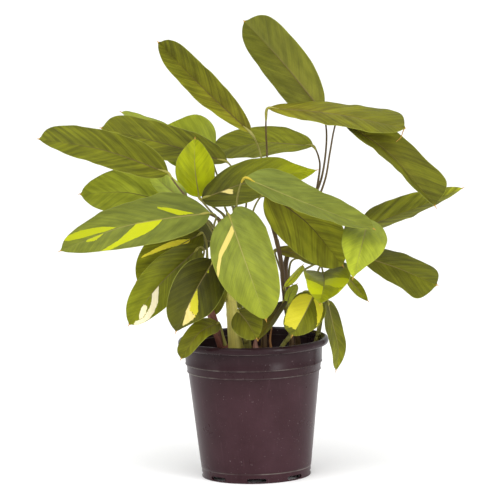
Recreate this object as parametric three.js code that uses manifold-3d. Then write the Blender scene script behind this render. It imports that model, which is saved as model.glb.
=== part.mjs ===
// Potted golden mosaic calathea: patterned leaves on cane-like stems in a nursery pot.
// Millimetres, +Z up. The origin is on the pot's axis, at the surface the pot stands on.

import * as THREE from 'three';
import Module from 'manifold-3d';
import { mergeVertices } from 'three/addons/utils/BufferGeometryUtils.js';
import { LoftGeometry } from 'three/addons/geometries/LoftGeometry.js';

const wasm = await Module();
wasm.setup();

// Driving dimensions
const POT_HEIGHT = 157;
const POT_SIDES = 36;
const RIM_RADIUS = 85;
const LIP = { across: 3.4, up: 4.2, start: - 75, end: 105, step: 45 };
const COLLAR = { low: 77, high: 78.3 };
const BAND = { low: 75.2, high: 76 };
const BODY = { low: 62.2, high: 74.2 };
const FOOT_RADIUS = 61.5;
const FOOT_RING = 2.4;
const WALL = 1.8;
const COLLAR_LINE = 129;
const BODY_LINE = 120;
const FOOT_LINE = 10.5;
const STEP = 0.9;
const EDGE = 0.5;
const CORNER = 2;
const FLOOR_UNDER = 7;
const FLOOR_TOP = 9;
const SLOT = { count: 8, width: 22, low: 1.4, high: 5.6, deep: 12 };
const DRAIN = { radius: 4.5, ring: 47, sides: 8, deep: 8 };
const SOIL_LEVEL = 135;
const SOIL_SIDES = 24;
const SOIL_RINGS = [ 70, 54, 38, 20, 0 ];
const SOIL_CLEARANCE = 0.85;
const SOIL_LUMP = 1.4;
const ROOT_DEPTH = 28;
const ROOT_LEAN = 0.88;
const ROOT_CLEARANCE = 0.9;
const THIN_CANE = 4;
const CANE_STEPS = 10;
const GAP = 0.3;
const LEAF_THICKNESS = 0.8;
const PETIOLE = { foot: 1.4, top: 1, pulvinus: 1.8, end: 0.45, sheath: 6, sides: 5, step: 15 };
const PULVINUS = { start: 0.8, end: 0.96 };

const FINISHES = {
	leaf: { color: 0x78802a, roughness: 0.45 },
	cane: { color: 0x9c9644, roughness: 0.5 },
	redSheath: { color: 0x6b3226, roughness: 0.6 },
	drySheath: { color: 0x8a6a48, roughness: 0.6 },
	soil: { color: 0x2e211a, roughness: 0.95 },
	pot: { color: 0x463338, roughness: 0.4 },
};

// Where the picture of the plant was taken from. The places of leaves and stems are given as
// a pixel of that picture, 500 pixels square, and a depth behind the pot's axis.
const VIEW = {
	distance: 5000, height: 911, aside: - 1.2, focal: 4480, middle: 250,
	pitch: THREE.MathUtils.degToRad( 7.46 ), roll: THREE.MathUtils.degToRad( 1.4 ),
};

function at( [ px, py, depth ] ) {

	const u = ( px - VIEW.middle ) / VIEW.focal;
	const v = ( VIEW.middle - py ) / VIEW.focal;
	const right = u * Math.cos( VIEW.roll ) + v * Math.sin( VIEW.roll );
	const up = v * Math.cos( VIEW.roll ) - u * Math.sin( VIEW.roll );
	const ahead = Math.cos( VIEW.pitch ) + up * Math.sin( VIEW.pitch );
	const rise = up * Math.cos( VIEW.pitch ) - Math.sin( VIEW.pitch );
	const reach = ( depth + VIEW.distance ) / ahead;
	return new THREE.Vector3( VIEW.aside + reach * right, depth, VIEW.height + reach * rise );

}

// Half widths along a blade, as shares of its full half width: one side is blunt and one lean.
// base and tip are what is left of them where a leaf draws in fully towards that end, and
// lobe is how much of the reach of its basal lobe a place has.
const OUTLINE = [
	{ u: 0, blunt: 0.06, lean: 0.06, base: 0.4, tip: 1, lobe: 0 },
	{ u: 0.05, blunt: 0.46, lean: 0.42, base: 0.5, tip: 1, lobe: 1 },
	{ u: 0.13, blunt: 0.74, lean: 0.67, base: 0.6, tip: 1, lobe: 0.8 },
	{ u: 0.27, blunt: 0.94, lean: 0.89, base: 0.78, tip: 1, lobe: 0.4 },
	{ u: 0.45, blunt: 1, lean: 0.98, base: 0.97, tip: 1, lobe: 0.1 },
	{ u: 0.63, blunt: 0.99, lean: 0.92, base: 1, tip: 0.93, lobe: 0 },
	{ u: 0.79, blunt: 0.96, lean: 0.77, base: 1, tip: 0.62, lobe: 0 },
	{ u: 0.9, blunt: 0.84, lean: 0.54, base: 1, tip: 0.38, lobe: 0 },
	{ u: 0.965, blunt: 0.48, lean: 0.25, base: 1, tip: 0.27, lobe: 0 },
	{ u: 1, blunt: 0.02, lean: 0.02, base: 1, tip: 0.25, lobe: 0 },
];
const ACROSS = [ - 1, - 0.55, 0, 0.55, 1 ];
const ACROSS_SMALL = [ - 1, 0, 1 ];
const SMALL_LEAF = 18;
const FULL = [ 1, 1 ];
const EVEN = [ 0, 0 ];

// Canes: the picture places each one from the soil up, with its radius at the soil and the top.
const CANES = {
	stout: {
		path: [ [ 236, 349, - 8 ], [ 231, 300, - 6 ], [ 226, 255, - 2 ], [ 220, 219, 0 ] ],
		radius: [ 8.6, 3.2 ],
	},
	middle: {
		path: [ [ 292, 346, 10 ], [ 285, 300, 10 ], [ 281, 262, 8 ], [ 273, 228, 8 ], [ 265, 206, 10 ] ],
		radius: [ 3, 2.2 ],
	},
	right_back: {
		path: [ [ 298, 345, 26 ], [ 290, 300, 25 ], [ 286, 262, 27 ], [ 300, 228, 30 ], [ 315, 199, 30 ] ],
		radius: [ 3, 2.2 ],
	},
	right: {
		path: [ [ 315, 346, - 5 ], [ 319, 330, - 9 ], [ 322, 306, - 9 ], [ 322, 290, - 6 ] ],
		radius: [ 2.8, 2 ],
	},
	red: {
		path: [
			[ 223, 348, - 28 ], [ 216, 328, - 31 ], [ 210, 310, - 33 ],
			[ 206, 288, - 31 ], [ 205, 262, - 26 ],
		],
		radius: [ 7.2, 2.6 ],
	},
	short: {
		path: [ [ 247, 349, - 16 ], [ 246, 335, - 20 ], [ 245, 322, - 30 ], [ 243, 314, - 44 ] ],
		radius: [ 4.2, 2 ],
	},
	brown: {
		path: [ [ 264, 350, - 6 ], [ 263, 325, - 6 ], [ 260, 300, - 8 ], [ 253, 268, - 10 ], [ 246, 238, - 12 ] ],
		radius: [ 3.8, 2.2 ],
	},
	leaning: {
		path: [ [ 281, 349, - 14 ], [ 290, 336, - 16 ], [ 299, 322, - 20 ], [ 306, 306, - 24 ] ],
		radius: [ 2.8, 1.9 ],
	},
	back: {
		path: [ [ 248, 344, 46 ], [ 244, 292, 50 ], [ 240, 245, 50 ], [ 234, 208, 48 ] ],
		radius: [ 3.6, 2.4 ],
	},
};

// Leaves: rib is base, points between and tip; half is the half width; roll turns the upper
// side away from the picture's viewer, at base and tip; fold lifts both halves, and curl
// adds to that towards the margins, in degrees; blunt is the blunt side, 1 for the right
// hand as seen with the tip up; foot is the cane, the share of its height and the side the
// petiole stands on, in degrees from +X; via are points on the petiole's way. full scales
// the half width of the blunt and the lean side; base and tip are how far each of them draws
// in towards that end, below 0 for one that is fuller; lobe is the reach of the basal lobes.
const LEAVES = {
	upper_left: {
		rib: [ [ 251, 133, 34 ], [ 207, 92, 52 ], [ 158, 42, 66 ] ],
		half: 22, roll: [ 8, 0 ], fold: 30, curl: 8, blunt: 1,
		full: [ 1, 0.88 ], base: [ 0.5, 0.6 ], tip: [ 0, - 0.3 ],
		foot: [ 'middle', 0.98, 60 ], via: [ [ 264, 184, 30 ], [ 260, 152, 46 ] ],
	},
	top: {
		rib: [ [ 322, 111, 56 ], [ 279, 58, 64 ], [ 244, 21, 52 ] ],
		half: 28, roll: [ 160, 165 ], fold: 14, curl: - 6, blunt: - 1,
		full: [ 0.97, 1.04 ], base: [ 0.45, - 0.6 ], tip: [ - 0.1, 0 ],
		foot: [ 'right_back', 0.98, - 120 ], via: [ [ 322, 176, 30 ], [ 326.5, 132, 46 ] ],
	},
	top_right: {
		rib: [ [ 268, 108, 18 ], [ 335, 114, 4 ], [ 405.5, 128.5, - 10 ] ],
		half: 29.5, roll: [ - 61, - 58 ], fold: 4, curl: - 10, blunt: - 1,
		full: [ 0.9, 0.85 ], base: [ 0.6, 0.5 ], tip: [ - 0.8, - 0.5 ],
		foot: [ 'middle', 0.93, - 20 ], via: [ [ 268, 182, 32 ], [ 267, 154, 47 ], [ 266, 120, 26 ] ],
	},
	hanging_right: {
		rib: [ [ 345, 123, 8 ], [ 388, 153, 0 ], [ 435, 206, - 18 ] ],
		half: 27, roll: [ - 50, - 54 ], fold: 24, curl: 6, blunt: - 1,
		full: [ 1.03, 1.4 ], tip: [ - 0.6, - 0.1 ],
		foot: [ 'right_back', 0.88, 0 ],
		via: [ [ 325, 180, 23 ], [ 330, 152, 20 ], [ 335, 126, 16 ], [ 339, 117, 12 ] ],
	},
	far_right: {
		rib: [ [ 362, 228, 46 ], [ 416, 208, 30 ], [ 463, 188, 10 ] ],
		half: 27, roll: [ - 58, - 62 ], fold: 12, curl: 4, blunt: 1, slip: 1.3,
		base: [ - 0.5, - 0.5 ], tip: [ 0.5, 0.4 ],
		foot: [ 'right_back', 0.7, - 20 ], via: [ [ 312, 238, 36 ], [ 342, 238, 46 ] ],
	},
	centre_right: {
		rib: [ [ 245, 178, - 50 ], [ 303, 202, - 74 ], [ 374, 229, - 98 ] ],
		half: 28, roll: [ - 55, - 58 ], fold: 8, curl: 2, blunt: - 1,
		base: [ - 1.3, - 0.1 ], tip: [ 0.45, 0 ],
		foot: [ 'brown', 0.98, 180 ], via: [ [ 239, 224, - 24 ], [ 237, 200, - 40 ] ],
	},
	centre: {
		rib: [ [ 202, 199, 0 ], [ 252, 181, 12 ], [ 317, 170, 8 ] ],
		half: 30, roll: [ - 48, - 50 ], fold: 6, curl: - 4, blunt: - 1,
		full: [ 1.15, 1.18 ], base: [ 0.5, - 0.4 ], tip: [ 1.15, 0.6 ], lobe: [ 0, 3 ],
		foot: [ 'stout', 0.98, 20 ], via: [ [ 212, 206, 6 ] ],
	},
	facing_right: {
		rib: [ [ 368, 219, - 42 ], [ 362, 245, - 92 ], [ 353, 278, - 126 ] ],
		half: 26, roll: [ 0, 0 ], fold: 10, curl: 0, blunt: 1,
		full: [ 0.92, 1.05 ], base: [ 0, 0.4 ], tip: [ 0.9, 1 ],
		foot: [ 'right_back', 0.8, - 90 ], via: [ [ 318, 228, 10 ], [ 342, 222, - 12 ], [ 359, 219, - 30 ] ],
	},
	behind_centre: {
		rib: [ [ 266, 193, - 24 ], [ 306, 222, - 28 ], [ 343, 266, - 52 ] ],
		half: 33, roll: [ 5, 5 ], fold: 8, curl: 0, blunt: 1,
		base: [ 0.15, 0 ], tip: [ 0.5, 0 ],
		foot: [ 'brown', 0.9, 90 ], via: [ [ 255, 206, - 16 ] ],
	},
	small_shaded: {
		rib: [ [ 275, 250, 16 ], [ 298, 254, 20 ], [ 322, 263, 22 ] ],
		half: 9, roll: [ - 40, - 40 ], fold: 10, curl: 0, blunt: 1,
		foot: [ 'middle', 0.55, 90 ], via: [],
	},
	low_right: {
		rib: [ [ 362, 256, 30 ], [ 400, 269, 25 ], [ 437, 285, 15 ] ],
		half: 26, roll: [ - 42, - 42 ], fold: - 8, curl: - 4, blunt: - 1,
		full: [ 1.1, 0.85 ], base: [ 0, 0.5 ], tip: [ - 0.1, - 1.8 ],
		foot: [ 'right_back', 0.5, 0 ], via: [ [ 315, 264, 34 ], [ 342, 252, 34 ] ],
	},
	narrow_right: {
		rib: [ [ 347, 276, 10 ], [ 357, 288, 8 ], [ 368, 301, 2 ] ],
		half: 6.5, roll: [ 0, 0 ], fold: 14, curl: 0, blunt: 1,
		tip: [ 0.8, 0.5 ],
		foot: [ 'right', 0.9, 60 ], via: [ [ 336, 273, 4 ] ],
	},
	bowl: {
		rib: [ [ 323, 273, - 18 ], [ 324, 284, - 62 ], [ 320, 304, - 105 ] ],
		half: 28, roll: [ 0, 0 ], fold: 24, curl: 10, blunt: 1,
		full: [ 0.97, 1.2 ], tip: [ 0.3, 0.5 ],
		foot: [ 'right', 0.98, - 90 ], via: [ [ 318, 272, - 6 ], [ 321, 266, - 10 ] ],
	},
	half_yellow: {
		rib: [ [ 314, 294, - 42 ], [ 305, 313, - 70 ], [ 292, 336, - 88 ] ],
		half: 23, roll: [ 0, 0 ], fold: 8, curl: - 8, blunt: 1,
		full: [ 0.85, 0.95 ], tip: [ 0.1, 0.3 ],
		foot: [ 'leaning', 0.98, 0 ], via: [ [ 312, 298, - 32 ] ],
	},
	outside_right: {
		rib: [ [ 327.5, 300, - 14 ], [ 333, 325, - 10 ], [ 338.5, 350, - 13 ], [ 336, 370.5, - 20 ] ],
		half: 16, roll: [ - 52, - 52 ], fold: 8, curl: 0, blunt: 1,
		full: [ 1.15, 0.9 ], tip: [ 0.5, 0.5 ],
		foot: [ 'right', 0.82, - 30 ], via: [],
	},
	front: {
		rib: [ [ 229, 215, - 50 ], [ 243, 255, - 104 ], [ 266, 320, - 147 ] ],
		half: 38, roll: [ - 4, 4 ], fold: 2, curl: - 10, blunt: 1,
		full: [ 0.92, 0.9 ], base: [ 0.2, - 0.5 ], tip: [ 0.85, - 0.1 ], lobe: [ 0, 16 ],
		foot: [ 'stout', 0.8, - 90 ], via: [ [ 226, 226, - 30 ], [ 227, 213, - 42 ] ],
	},
	left_front: {
		rib: [ [ 210, 213, - 34 ], [ 163, 219, - 60 ], [ 119, 228, - 76 ], [ 60, 251, - 84 ] ],
		half: 29, roll: [ 33, 30 ], fold: - 8, curl: - 10, blunt: 1,
		full: [ 1.2, 0.95 ], base: [ - 1.1, 0 ], tip: [ 0.5, 0.45 ],
		foot: [ 'stout', 0.88, 180 ], via: [ [ 214, 226, - 16 ], [ 216, 216, - 26 ] ],
	},
	left: {
		rib: [ [ 168, 173, - 5 ], [ 103, 150, - 20 ], [ 38.5, 139, - 26 ] ],
		half: 27, roll: [ 42, 42 ], fold: 6, curl: 0, blunt: 1,
		base: [ - 0.35, 0 ], tip: [ 0.1, 0.35 ],
		foot: [ 'stout', 0.97, - 100 ], via: [ [ 206, 212, - 6 ], [ 186, 196, - 6 ], [ 173, 180, - 5 ] ],
	},
	left_behind: {
		rib: [ [ 227, 162, 54 ], [ 165, 144, 58 ], [ 101, 128, 60 ] ],
		half: 28, roll: [ 45, 42 ], fold: 6, curl: 0, blunt: 1,
		base: [ 0, 0.7 ],
		foot: [ 'back', 0.98, - 60 ], via: [ [ 236, 185, 50 ], [ 232, 168, 54 ] ],
	},
	pale_sliver: {
		rib: [ [ 208, 150, 112 ], [ 168, 130, 114 ], [ 121, 112, 112 ] ],
		half: 23, roll: [ 66, 68 ], fold: 4, curl: 0, blunt: 1,
		full: [ 0.55, 1 ],
		foot: [ 'back', 0.95, 90 ], via: [ [ 226, 196, 72 ], [ 216, 172, 98 ] ],
	},
	pale_round: {
		rib: [ [ 208, 160, 132 ], [ 186, 142, 144 ], [ 163, 127, 146 ] ],
		half: 33, roll: [ 12, 12 ], fold: 6, curl: 0, blunt: 1,
		full: [ 1.1, 1 ], base: [ 0.35, 0 ], tip: [ 1, 0 ],
		foot: [ 'back', 0.85, 150 ], via: [ [ 224, 205, 72 ], [ 216, 182, 106 ] ],
	},
	upper_middle: {
		rib: [ [ 313, 146, 62 ], [ 262, 143, 84 ], [ 212, 152, 88 ] ],
		half: 28, roll: [ 52, 54 ], fold: 6, curl: 0, blunt: 1,
		full: [ 1, 1.15 ], base: [ 0.5, 0.9 ],
		foot: [ 'right_back', 0.98, 100 ], via: [ [ 318, 182, 40 ], [ 319.5, 161, 56 ] ],
	},
	young: {
		rib: [ [ 199, 197, 32 ], [ 195, 168, 26 ], [ 195, 138, 28 ] ],
		half: 22, roll: [ 0, 0 ], fold: 8, curl: 6, blunt: 1, oval: 0.7,
		full: [ 1.02, 1.05 ], tip: [ 0.5, 0.3 ],
		foot: [ 'stout', 0.93, 90 ], via: [ [ 207, 207, 26 ] ],
	},
	left_low: {
		rib: [ [ 188, 210, 26 ], [ 130, 193, 16 ], [ 80, 194, 8 ] ],
		half: 30, roll: [ 20, 20 ], fold: 4, curl: - 6, blunt: 1,
		tip: [ 0.65, 0 ],
		foot: [ 'stout', 0.83, 120 ], via: [ [ 205, 218, 22 ] ],
	},
	glossy: {
		rib: [ [ 186, 203, 8 ], [ 168, 188, 6 ], [ 150, 172, 10 ] ],
		half: 13, roll: [ 20, 20 ], fold: 8, curl: 0, blunt: 1,
		foot: [ 'stout', 0.8, 170 ], via: [ [ 203, 217, 4 ] ],
	},
	shaded_left: {
		rib: [ [ 202, 233, - 6 ], [ 166, 254, - 14 ], [ 137, 281, - 20 ] ],
		half: 26, roll: [ 10, 10 ], fold: 8, curl: 0, blunt: - 1,
		tip: [ 0, 0.2 ],
		foot: [ 'red', 0.98, 60 ], via: [ [ 206, 241, - 12 ] ],
	},
	low_left: {
		rib: [ [ 200, 247, - 32 ], [ 160, 284, - 54 ], [ 129, 325, - 66 ] ],
		half: 24, roll: [ 0, 0 ], fold: 8, curl: 0, blunt: - 1,
		tip: [ 0.6, - 0.1 ],
		foot: [ 'red', 0.93, 180 ], via: [ [ 204, 250, - 30 ] ],
	},
	low_left_striped: {
		rib: [ [ 214, 260, - 48 ], [ 196, 290, - 76 ], [ 176, 332, - 92 ] ],
		half: 28, roll: [ 0, 0 ], fold: 6, curl: - 6, blunt: - 1,
		full: [ 1.03, 1 ], tip: [ 1.1, 0 ],
		foot: [ 'red', 0.88, - 60 ], via: [ [ 212, 258, - 40 ] ],
	},
	at_rim: {
		rib: [ [ 219, 323, - 44 ], [ 199, 333, - 72 ], [ 181, 359, - 78 ] ],
		half: 13, roll: [ 30, 30 ], fold: 10, curl: 0, blunt: 1,
		foot: [ 'red', 0.33, - 60 ], via: [],
	},
	small_front: {
		rib: [ [ 238, 311, - 66 ], [ 247, 322, - 82 ], [ 257, 339, - 92 ] ],
		half: 17.8, roll: [ 0, 0 ], fold: 6, curl: 0, blunt: 1, oval: 0.4,
		tip: [ 0.3, 0.2 ],
		foot: [ 'short', 0.98, - 90 ], via: [ [ 240, 309, - 58 ] ],
	},
	folded: {
		rib: [ [ 284, 301, - 14 ], [ 272, 320, - 44 ], [ 259, 339, - 54 ] ],
		half: 13, roll: [ 50, 55 ], fold: 14, curl: 0, blunt: 1,
		foot: [ 'middle', 0.3, - 90 ], via: [],
	},
	green_blade: {
		rib: [ [ 284.5, 287, - 6 ], [ 293.5, 277, - 10 ], [ 303, 265, - 12 ] ],
		half: 8, roll: [ 60, 60 ], fold: 6, curl: 0, blunt: 1,
		foot: [ 'middle', 0.38, - 50 ], via: [],
	},
	pale_bud_leaf: {
		rib: [ [ 287, 304, 0 ], [ 290, 294, - 2 ], [ 297, 284, 0 ] ],
		half: 7, roll: [ 30, 30 ], fold: 10, curl: 0, blunt: 1, oval: 0.6,
		foot: [ 'middle', 0.27, - 20 ], via: [],
	},
	dark_inner: {
		rib: [ [ 221, 273, - 20 ], [ 218, 296, - 22 ], [ 213, 316, - 22 ] ],
		half: 10, roll: [ 0, 0 ], fold: 8, curl: 0, blunt: 1,
		foot: [ 'stout', 0.5, - 150 ], via: [],
	},
	back_up: {
		rib: [ [ 247, 196, 66 ], [ 250, 185, 104 ], [ 250, 177, 140 ] ],
		half: 28, roll: [ 0, 0 ], fold: 10, curl: 0, blunt: 1,
		foot: [ 'back', 0.9, 30 ], via: [ [ 245, 211, 58 ] ],
	},
	back_right: {
		rib: [ [ 293, 230, 58 ], [ 304, 214, 98 ], [ 312, 204, 136 ] ],
		half: 26, roll: [ 0, 0 ], fold: 10, curl: 0, blunt: - 1,
		foot: [ 'right_back', 0.65, 90 ], via: [ [ 290, 240, 48 ] ],
	},
	back_down: {
		rib: [ [ 247, 236, 62 ], [ 244, 252, 106 ], [ 241, 284, 134 ] ],
		half: 26, roll: [ 150, 150 ], fold: 10, curl: 0, blunt: 1,
		foot: [ 'back', 0.75, 60 ], via: [ [ 245, 238, 58 ] ],
	},
	back_left: {
		rib: [ [ 214, 242, 58 ], [ 188, 238, 94 ], [ 164, 241, 122 ] ],
		half: 26, roll: [ 20, 20 ], fold: 10, curl: 0, blunt: 1,
		foot: [ 'back', 0.7, 150 ], via: [ [ 226, 246, 54 ] ],
	},
	back_low_right: {
		rib: [ [ 298, 258, 54 ], [ 322, 250, 90 ], [ 344, 246, 122 ] ],
		half: 22, roll: [ - 20, - 20 ], fold: 10, curl: 0, blunt: - 1,
		foot: [ 'right_back', 0.5, 60 ], via: [ [ 291, 262, 42 ] ],
	},
	back_low_left: {
		rib: [ [ 222, 284, 62 ], [ 200, 290, 96 ], [ 180, 306, 122 ] ],
		half: 24, roll: [ 20, 20 ], fold: 8, curl: 0, blunt: 1,
		foot: [ 'back', 0.5, 170 ], via: [ [ 231, 283, 56 ] ],
	},
	back_low: {
		rib: [ [ 250, 284, 66 ], [ 252, 294, 100 ], [ 250, 314, 124 ] ],
		half: 23, roll: [ 0, 0 ], fold: 12, curl: 0, blunt: - 1,
		foot: [ 'back', 0.45, 60 ], via: [ [ 249, 286, 60 ] ],
	},
	back_low_far_right: {
		rib: [ [ 297, 303, 44 ], [ 306, 306, 74 ], [ 317, 318, 98 ] ],
		half: 18, roll: [ - 10, - 10 ], fold: 10, curl: 0, blunt: 1,
		foot: [ 'right_back', 0.25, 60 ], via: [],
	},
};

function piece( name, geometry, finish ) {

	const mesh = new THREE.Mesh( geometry, new THREE.MeshStandardMaterial( { ...finish, metalness: 0 } ) );
	mesh.name = name;
	return mesh;

}

// Joining and cutting
function solid( geometry ) {

	const bare = new THREE.BufferGeometry();
	bare.setAttribute( 'position', geometry.getAttribute( 'position' ).clone() );
	bare.setIndex( geometry.getIndex() );
	const merged = mergeVertices( bare, 1e-4 );
	return new wasm.Manifold( new wasm.Mesh( {
		numProp: 3,
		vertProperties: new Float32Array( merged.getAttribute( 'position' ).array ),
		triVerts: new Uint32Array( merged.getIndex().array ),
	} ) );

}

function shape( manifold ) {

	const mesh = manifold.getMesh();
	const geometry = new THREE.BufferGeometry();
	const position = new Float32Array( mesh.vertProperties );
	geometry.setAttribute( 'position', new THREE.BufferAttribute( position, 3 ) );
	geometry.setIndex( new THREE.BufferAttribute( new Uint32Array( mesh.triVerts ), 1 ) );
	geometry.computeVertexNormals();
	return geometry;

}

// A tube along a curve, with its radius as a function of the share of the way
function taperedTube( curve, radiusAt, sides, steps ) {

	const frames = curve.computeFrenetFrames( steps, false );
	const sections = [];
	for ( let i = 0; i <= steps; i ++ ) {

		const centre = curve.getPointAt( i / steps );
		const radius = radiusAt( i / steps );
		const ring = [];
		for ( let k = 0; k < sides; k ++ ) {

			const angle = 2 * Math.PI * k / sides;
			ring.push( centre.clone()
				.addScaledVector( frames.normals[ i ], radius * Math.cos( angle ) )
				.addScaledVector( frames.binormals[ i ], radius * Math.sin( angle ) ) );

		}

		sections.push( ring );

	}

	return new LoftGeometry( sections, { closed: true, capStart: true, capEnd: true } );

}

function caneCurve( path ) {

	const points = path.map( at );
	const root = points[ 0 ].clone().multiplyScalar( ROOT_LEAN ).setZ( SOIL_LEVEL - ROOT_DEPTH );
	const half = root.clone().lerp( points[ 0 ], 0.5 );
	return new THREE.CatmullRomCurve3( [ root, half, ...points ] );

}

function curvesOf( stems ) {

	const pairs = Object.entries( stems ).map( ( [ name, stem ] ) => [ name, caneCurve( stem.path ) ] );
	return Object.fromEntries( pairs );

}

const caneCurves = curvesOf( CANES );

function caneRadius( name, share ) {

	const [ low, high ] = CANES[ name ].radius;
	return THREE.MathUtils.lerp( low, high, share );

}

// A leaf: a petiole that stands beside its cane, the pulvinus and the blade
function petioleCurve( leaf, ribStart, ribNext ) {

	const [ cane, share, side ] = leaf.foot;
	const curve = caneCurves[ cane ];
	const tangent = curve.getTangentAt( share );
	const angle = THREE.MathUtils.degToRad( side );
	const out = new THREE.Vector3( Math.cos( angle ), Math.sin( angle ), 0 );
	out.addScaledVector( tangent, - out.dot( tangent ) ).normalize();
	const reach = caneRadius( cane, share ) + PETIOLE.foot + GAP;
	const foot = curve.getPointAt( share ).addScaledVector( out, reach );
	const sheath = foot.clone().addScaledVector( tangent, PETIOLE.sheath ).addScaledVector( out, 2 * GAP );
	return new THREE.CatmullRomCurve3( [ foot, sheath, ...leaf.via.map( at ), ribStart, ribNext ] );

}

function petioleRadius( share ) {

	const { start, end } = PULVINUS;
	if ( share > end ) return THREE.MathUtils.mapLinear( share, end, 1, PETIOLE.top, PETIOLE.end );
	if ( share < start ) return THREE.MathUtils.lerp( PETIOLE.foot, PETIOLE.top, share / start );
	const swell = Math.sin( Math.PI * ( share - start ) / ( end - start ) );
	return THREE.MathUtils.lerp( PETIOLE.top, PETIOLE.pulvinus, swell );

}

function bladeFrame( curve, leaf, u ) {

	const tangent = curve.getTangentAt( u );
	const centre = curve.getPointAt( u );
	const viewer = new THREE.Vector3( VIEW.aside, - VIEW.distance, VIEW.height ).sub( centre ).normalize();
	const up = viewer.addScaledVector( tangent, - viewer.dot( tangent ) ).normalize();
	const roll = THREE.MathUtils.degToRad( THREE.MathUtils.lerp( leaf.roll[ 0 ], leaf.roll[ 1 ], u ) );
	up.applyAxisAngle( tangent, roll );
	return { centre, tangent, up, right: tangent.clone().cross( up ) };

}

function halfWidth( leaf, station, right ) {

	const which = ( leaf.blunt > 0 ) === right ? 0 : 1;
	const side = [ station.blunt, station.lean ][ which ];
	const oval = Math.sqrt( Math.sin( Math.PI * Math.min( 1, station.u + 0.02 ) ) );
	const share = THREE.MathUtils.lerp( side, oval * side ** 0.4, leaf.oval ?? 0 );
	const full = ( leaf.full ?? FULL )[ which ];
	const base = 1 - ( leaf.base ?? EVEN )[ which ] * ( 1 - station.base );
	const tip = 1 - ( leaf.tip ?? EVEN )[ which ] * ( 1 - station.tip );
	return leaf.half * share * full * base * tip;

}

function bladePoint( frame, leaf, station, v ) {

	const fold = THREE.MathUtils.degToRad( leaf.fold );
	const curl = THREE.MathUtils.degToRad( leaf.curl || 1 );
	const reach = Math.abs( v ) * halfWidth( leaf, station, v > 0 );
	const turn = fold + curl * Math.abs( v );
	const bend = reach / ( curl * Math.abs( v ) || 1 );
	const lateral = Math.sign( v ) * bend * ( Math.sin( turn ) - Math.sin( fold ) );
	const lift = bend * ( Math.cos( fold ) - Math.cos( turn ) );
	const point = frame.centre.clone();
	point.addScaledVector( frame.right, lateral ).addScaledVector( frame.up, lift );
	const lobe = ( leaf.lobe ?? EVEN )[ ( leaf.blunt > 0 ) === ( v > 0 ) ? 0 : 1 ];
	point.addScaledVector( frame.tangent, - lobe * station.lobe * v ** 2 );
	const up = frame.up.clone().multiplyScalar( v === 0 ? 1 / Math.cos( fold ) : Math.cos( turn ) );
	return { point, up: up.addScaledVector( frame.right, - Math.sign( v ) * Math.sin( turn ) ) };

}

function bladeGeometry( leaf, curve ) {

	const across = leaf.half < SMALL_LEAF ? ACROSS_SMALL : ACROSS;
	const top = [];
	const under = [];
	for ( const station of OUTLINE ) {

		const frame = bladeFrame( curve, leaf, station.u ** ( leaf.slip ?? 1 ) );
		for ( const v of across ) {

			const { point, up } = bladePoint( frame, leaf, station, v );
			top.push( point.clone().addScaledVector( up, LEAF_THICKNESS / 2 ) );
			under.push( point.clone().addScaledVector( up, - LEAF_THICKNESS / 2 ) );

		}

	}

	const rows = OUTLINE.length;
	const columns = across.length;
	const faces = [];
	const quad = ( a, b, c, d ) => faces.push( a, b, c, a, c, d );
	const index = ( row, column ) => row * columns + column;
	for ( let i = 0; i < rows - 1; i ++ ) {

		for ( let j = 0; j < columns - 1; j ++ ) {

			const [ a, b, c, d ] = [ index( i, j ), index( i, j + 1 ), index( i + 1, j + 1 ), index( i + 1, j ) ];
			quad( a, b, c, d );
			const [ e, f, g, h ] = [ a, b, c, d ].map( ( corner ) => corner + top.length );
			faces.push( e, g, f, e, h, g );

		}

	}

	const rim = [];
	for ( let j = 0; j < columns - 1; j ++ ) rim.push( index( 0, j ) );
	for ( let i = 0; i < rows - 1; i ++ ) rim.push( index( i, columns - 1 ) );
	for ( let j = columns - 1; j > 0; j -- ) rim.push( index( rows - 1, j ) );
	for ( let i = rows - 1; i > 0; i -- ) rim.push( index( i, 0 ) );
	rim.forEach( ( a, k ) => {

		const b = rim[ ( k + 1 ) % rim.length ];
		quad( a + top.length, b + top.length, b, a );

	} );

	const geometry = new THREE.BufferGeometry().setFromPoints( [ ...top, ...under ] );
	geometry.setIndex( faces );
	return geometry;

}

function leafPiece( name, leaf ) {

	const curve = new THREE.CatmullRomCurve3( leaf.rib.map( at ) );
	const blade = solid( bladeGeometry( leaf, curve ) );
	const stalk = petioleCurve( leaf, curve.getPointAt( 0 ), curve.getPointAt( 0.08 ) );
	const steps = THREE.MathUtils.clamp( Math.round( stalk.getLength() / PETIOLE.step ), 5, 6 );
	const petiole = solid( taperedTube( stalk, petioleRadius, PETIOLE.sides, steps ) );
	return piece( `leaf_${ name }`, shape( blade.add( petiole ) ), FINISHES.leaf );

}

function canePiece( name ) {

	const finish = name === 'red' ? FINISHES.redSheath : FINISHES.cane;
	const sides = CANES[ name ].radius[ 0 ] > THIN_CANE ? 12 : 8;
	const tube = taperedTube( caneCurves[ name ], ( share ) => caneRadius( name, share ), sides, CANE_STEPS );
	return piece( `cane_${ name }`, tube, finish );

}

// The pot: a thin shell with a rolled rim, two steps under it and a foot with slots
function wallRadius( z ) {

	const { mapLinear } = THREE.MathUtils;
	if ( z > COLLAR_LINE ) return mapLinear( z, COLLAR_LINE, POT_HEIGHT, COLLAR.low, COLLAR.high );
	if ( z > BODY_LINE ) return mapLinear( z, BODY_LINE, COLLAR_LINE, BAND.low, BAND.high );
	return mapLinear( z, FOOT_LINE, BODY_LINE, BODY.low, BODY.high );

}

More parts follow.
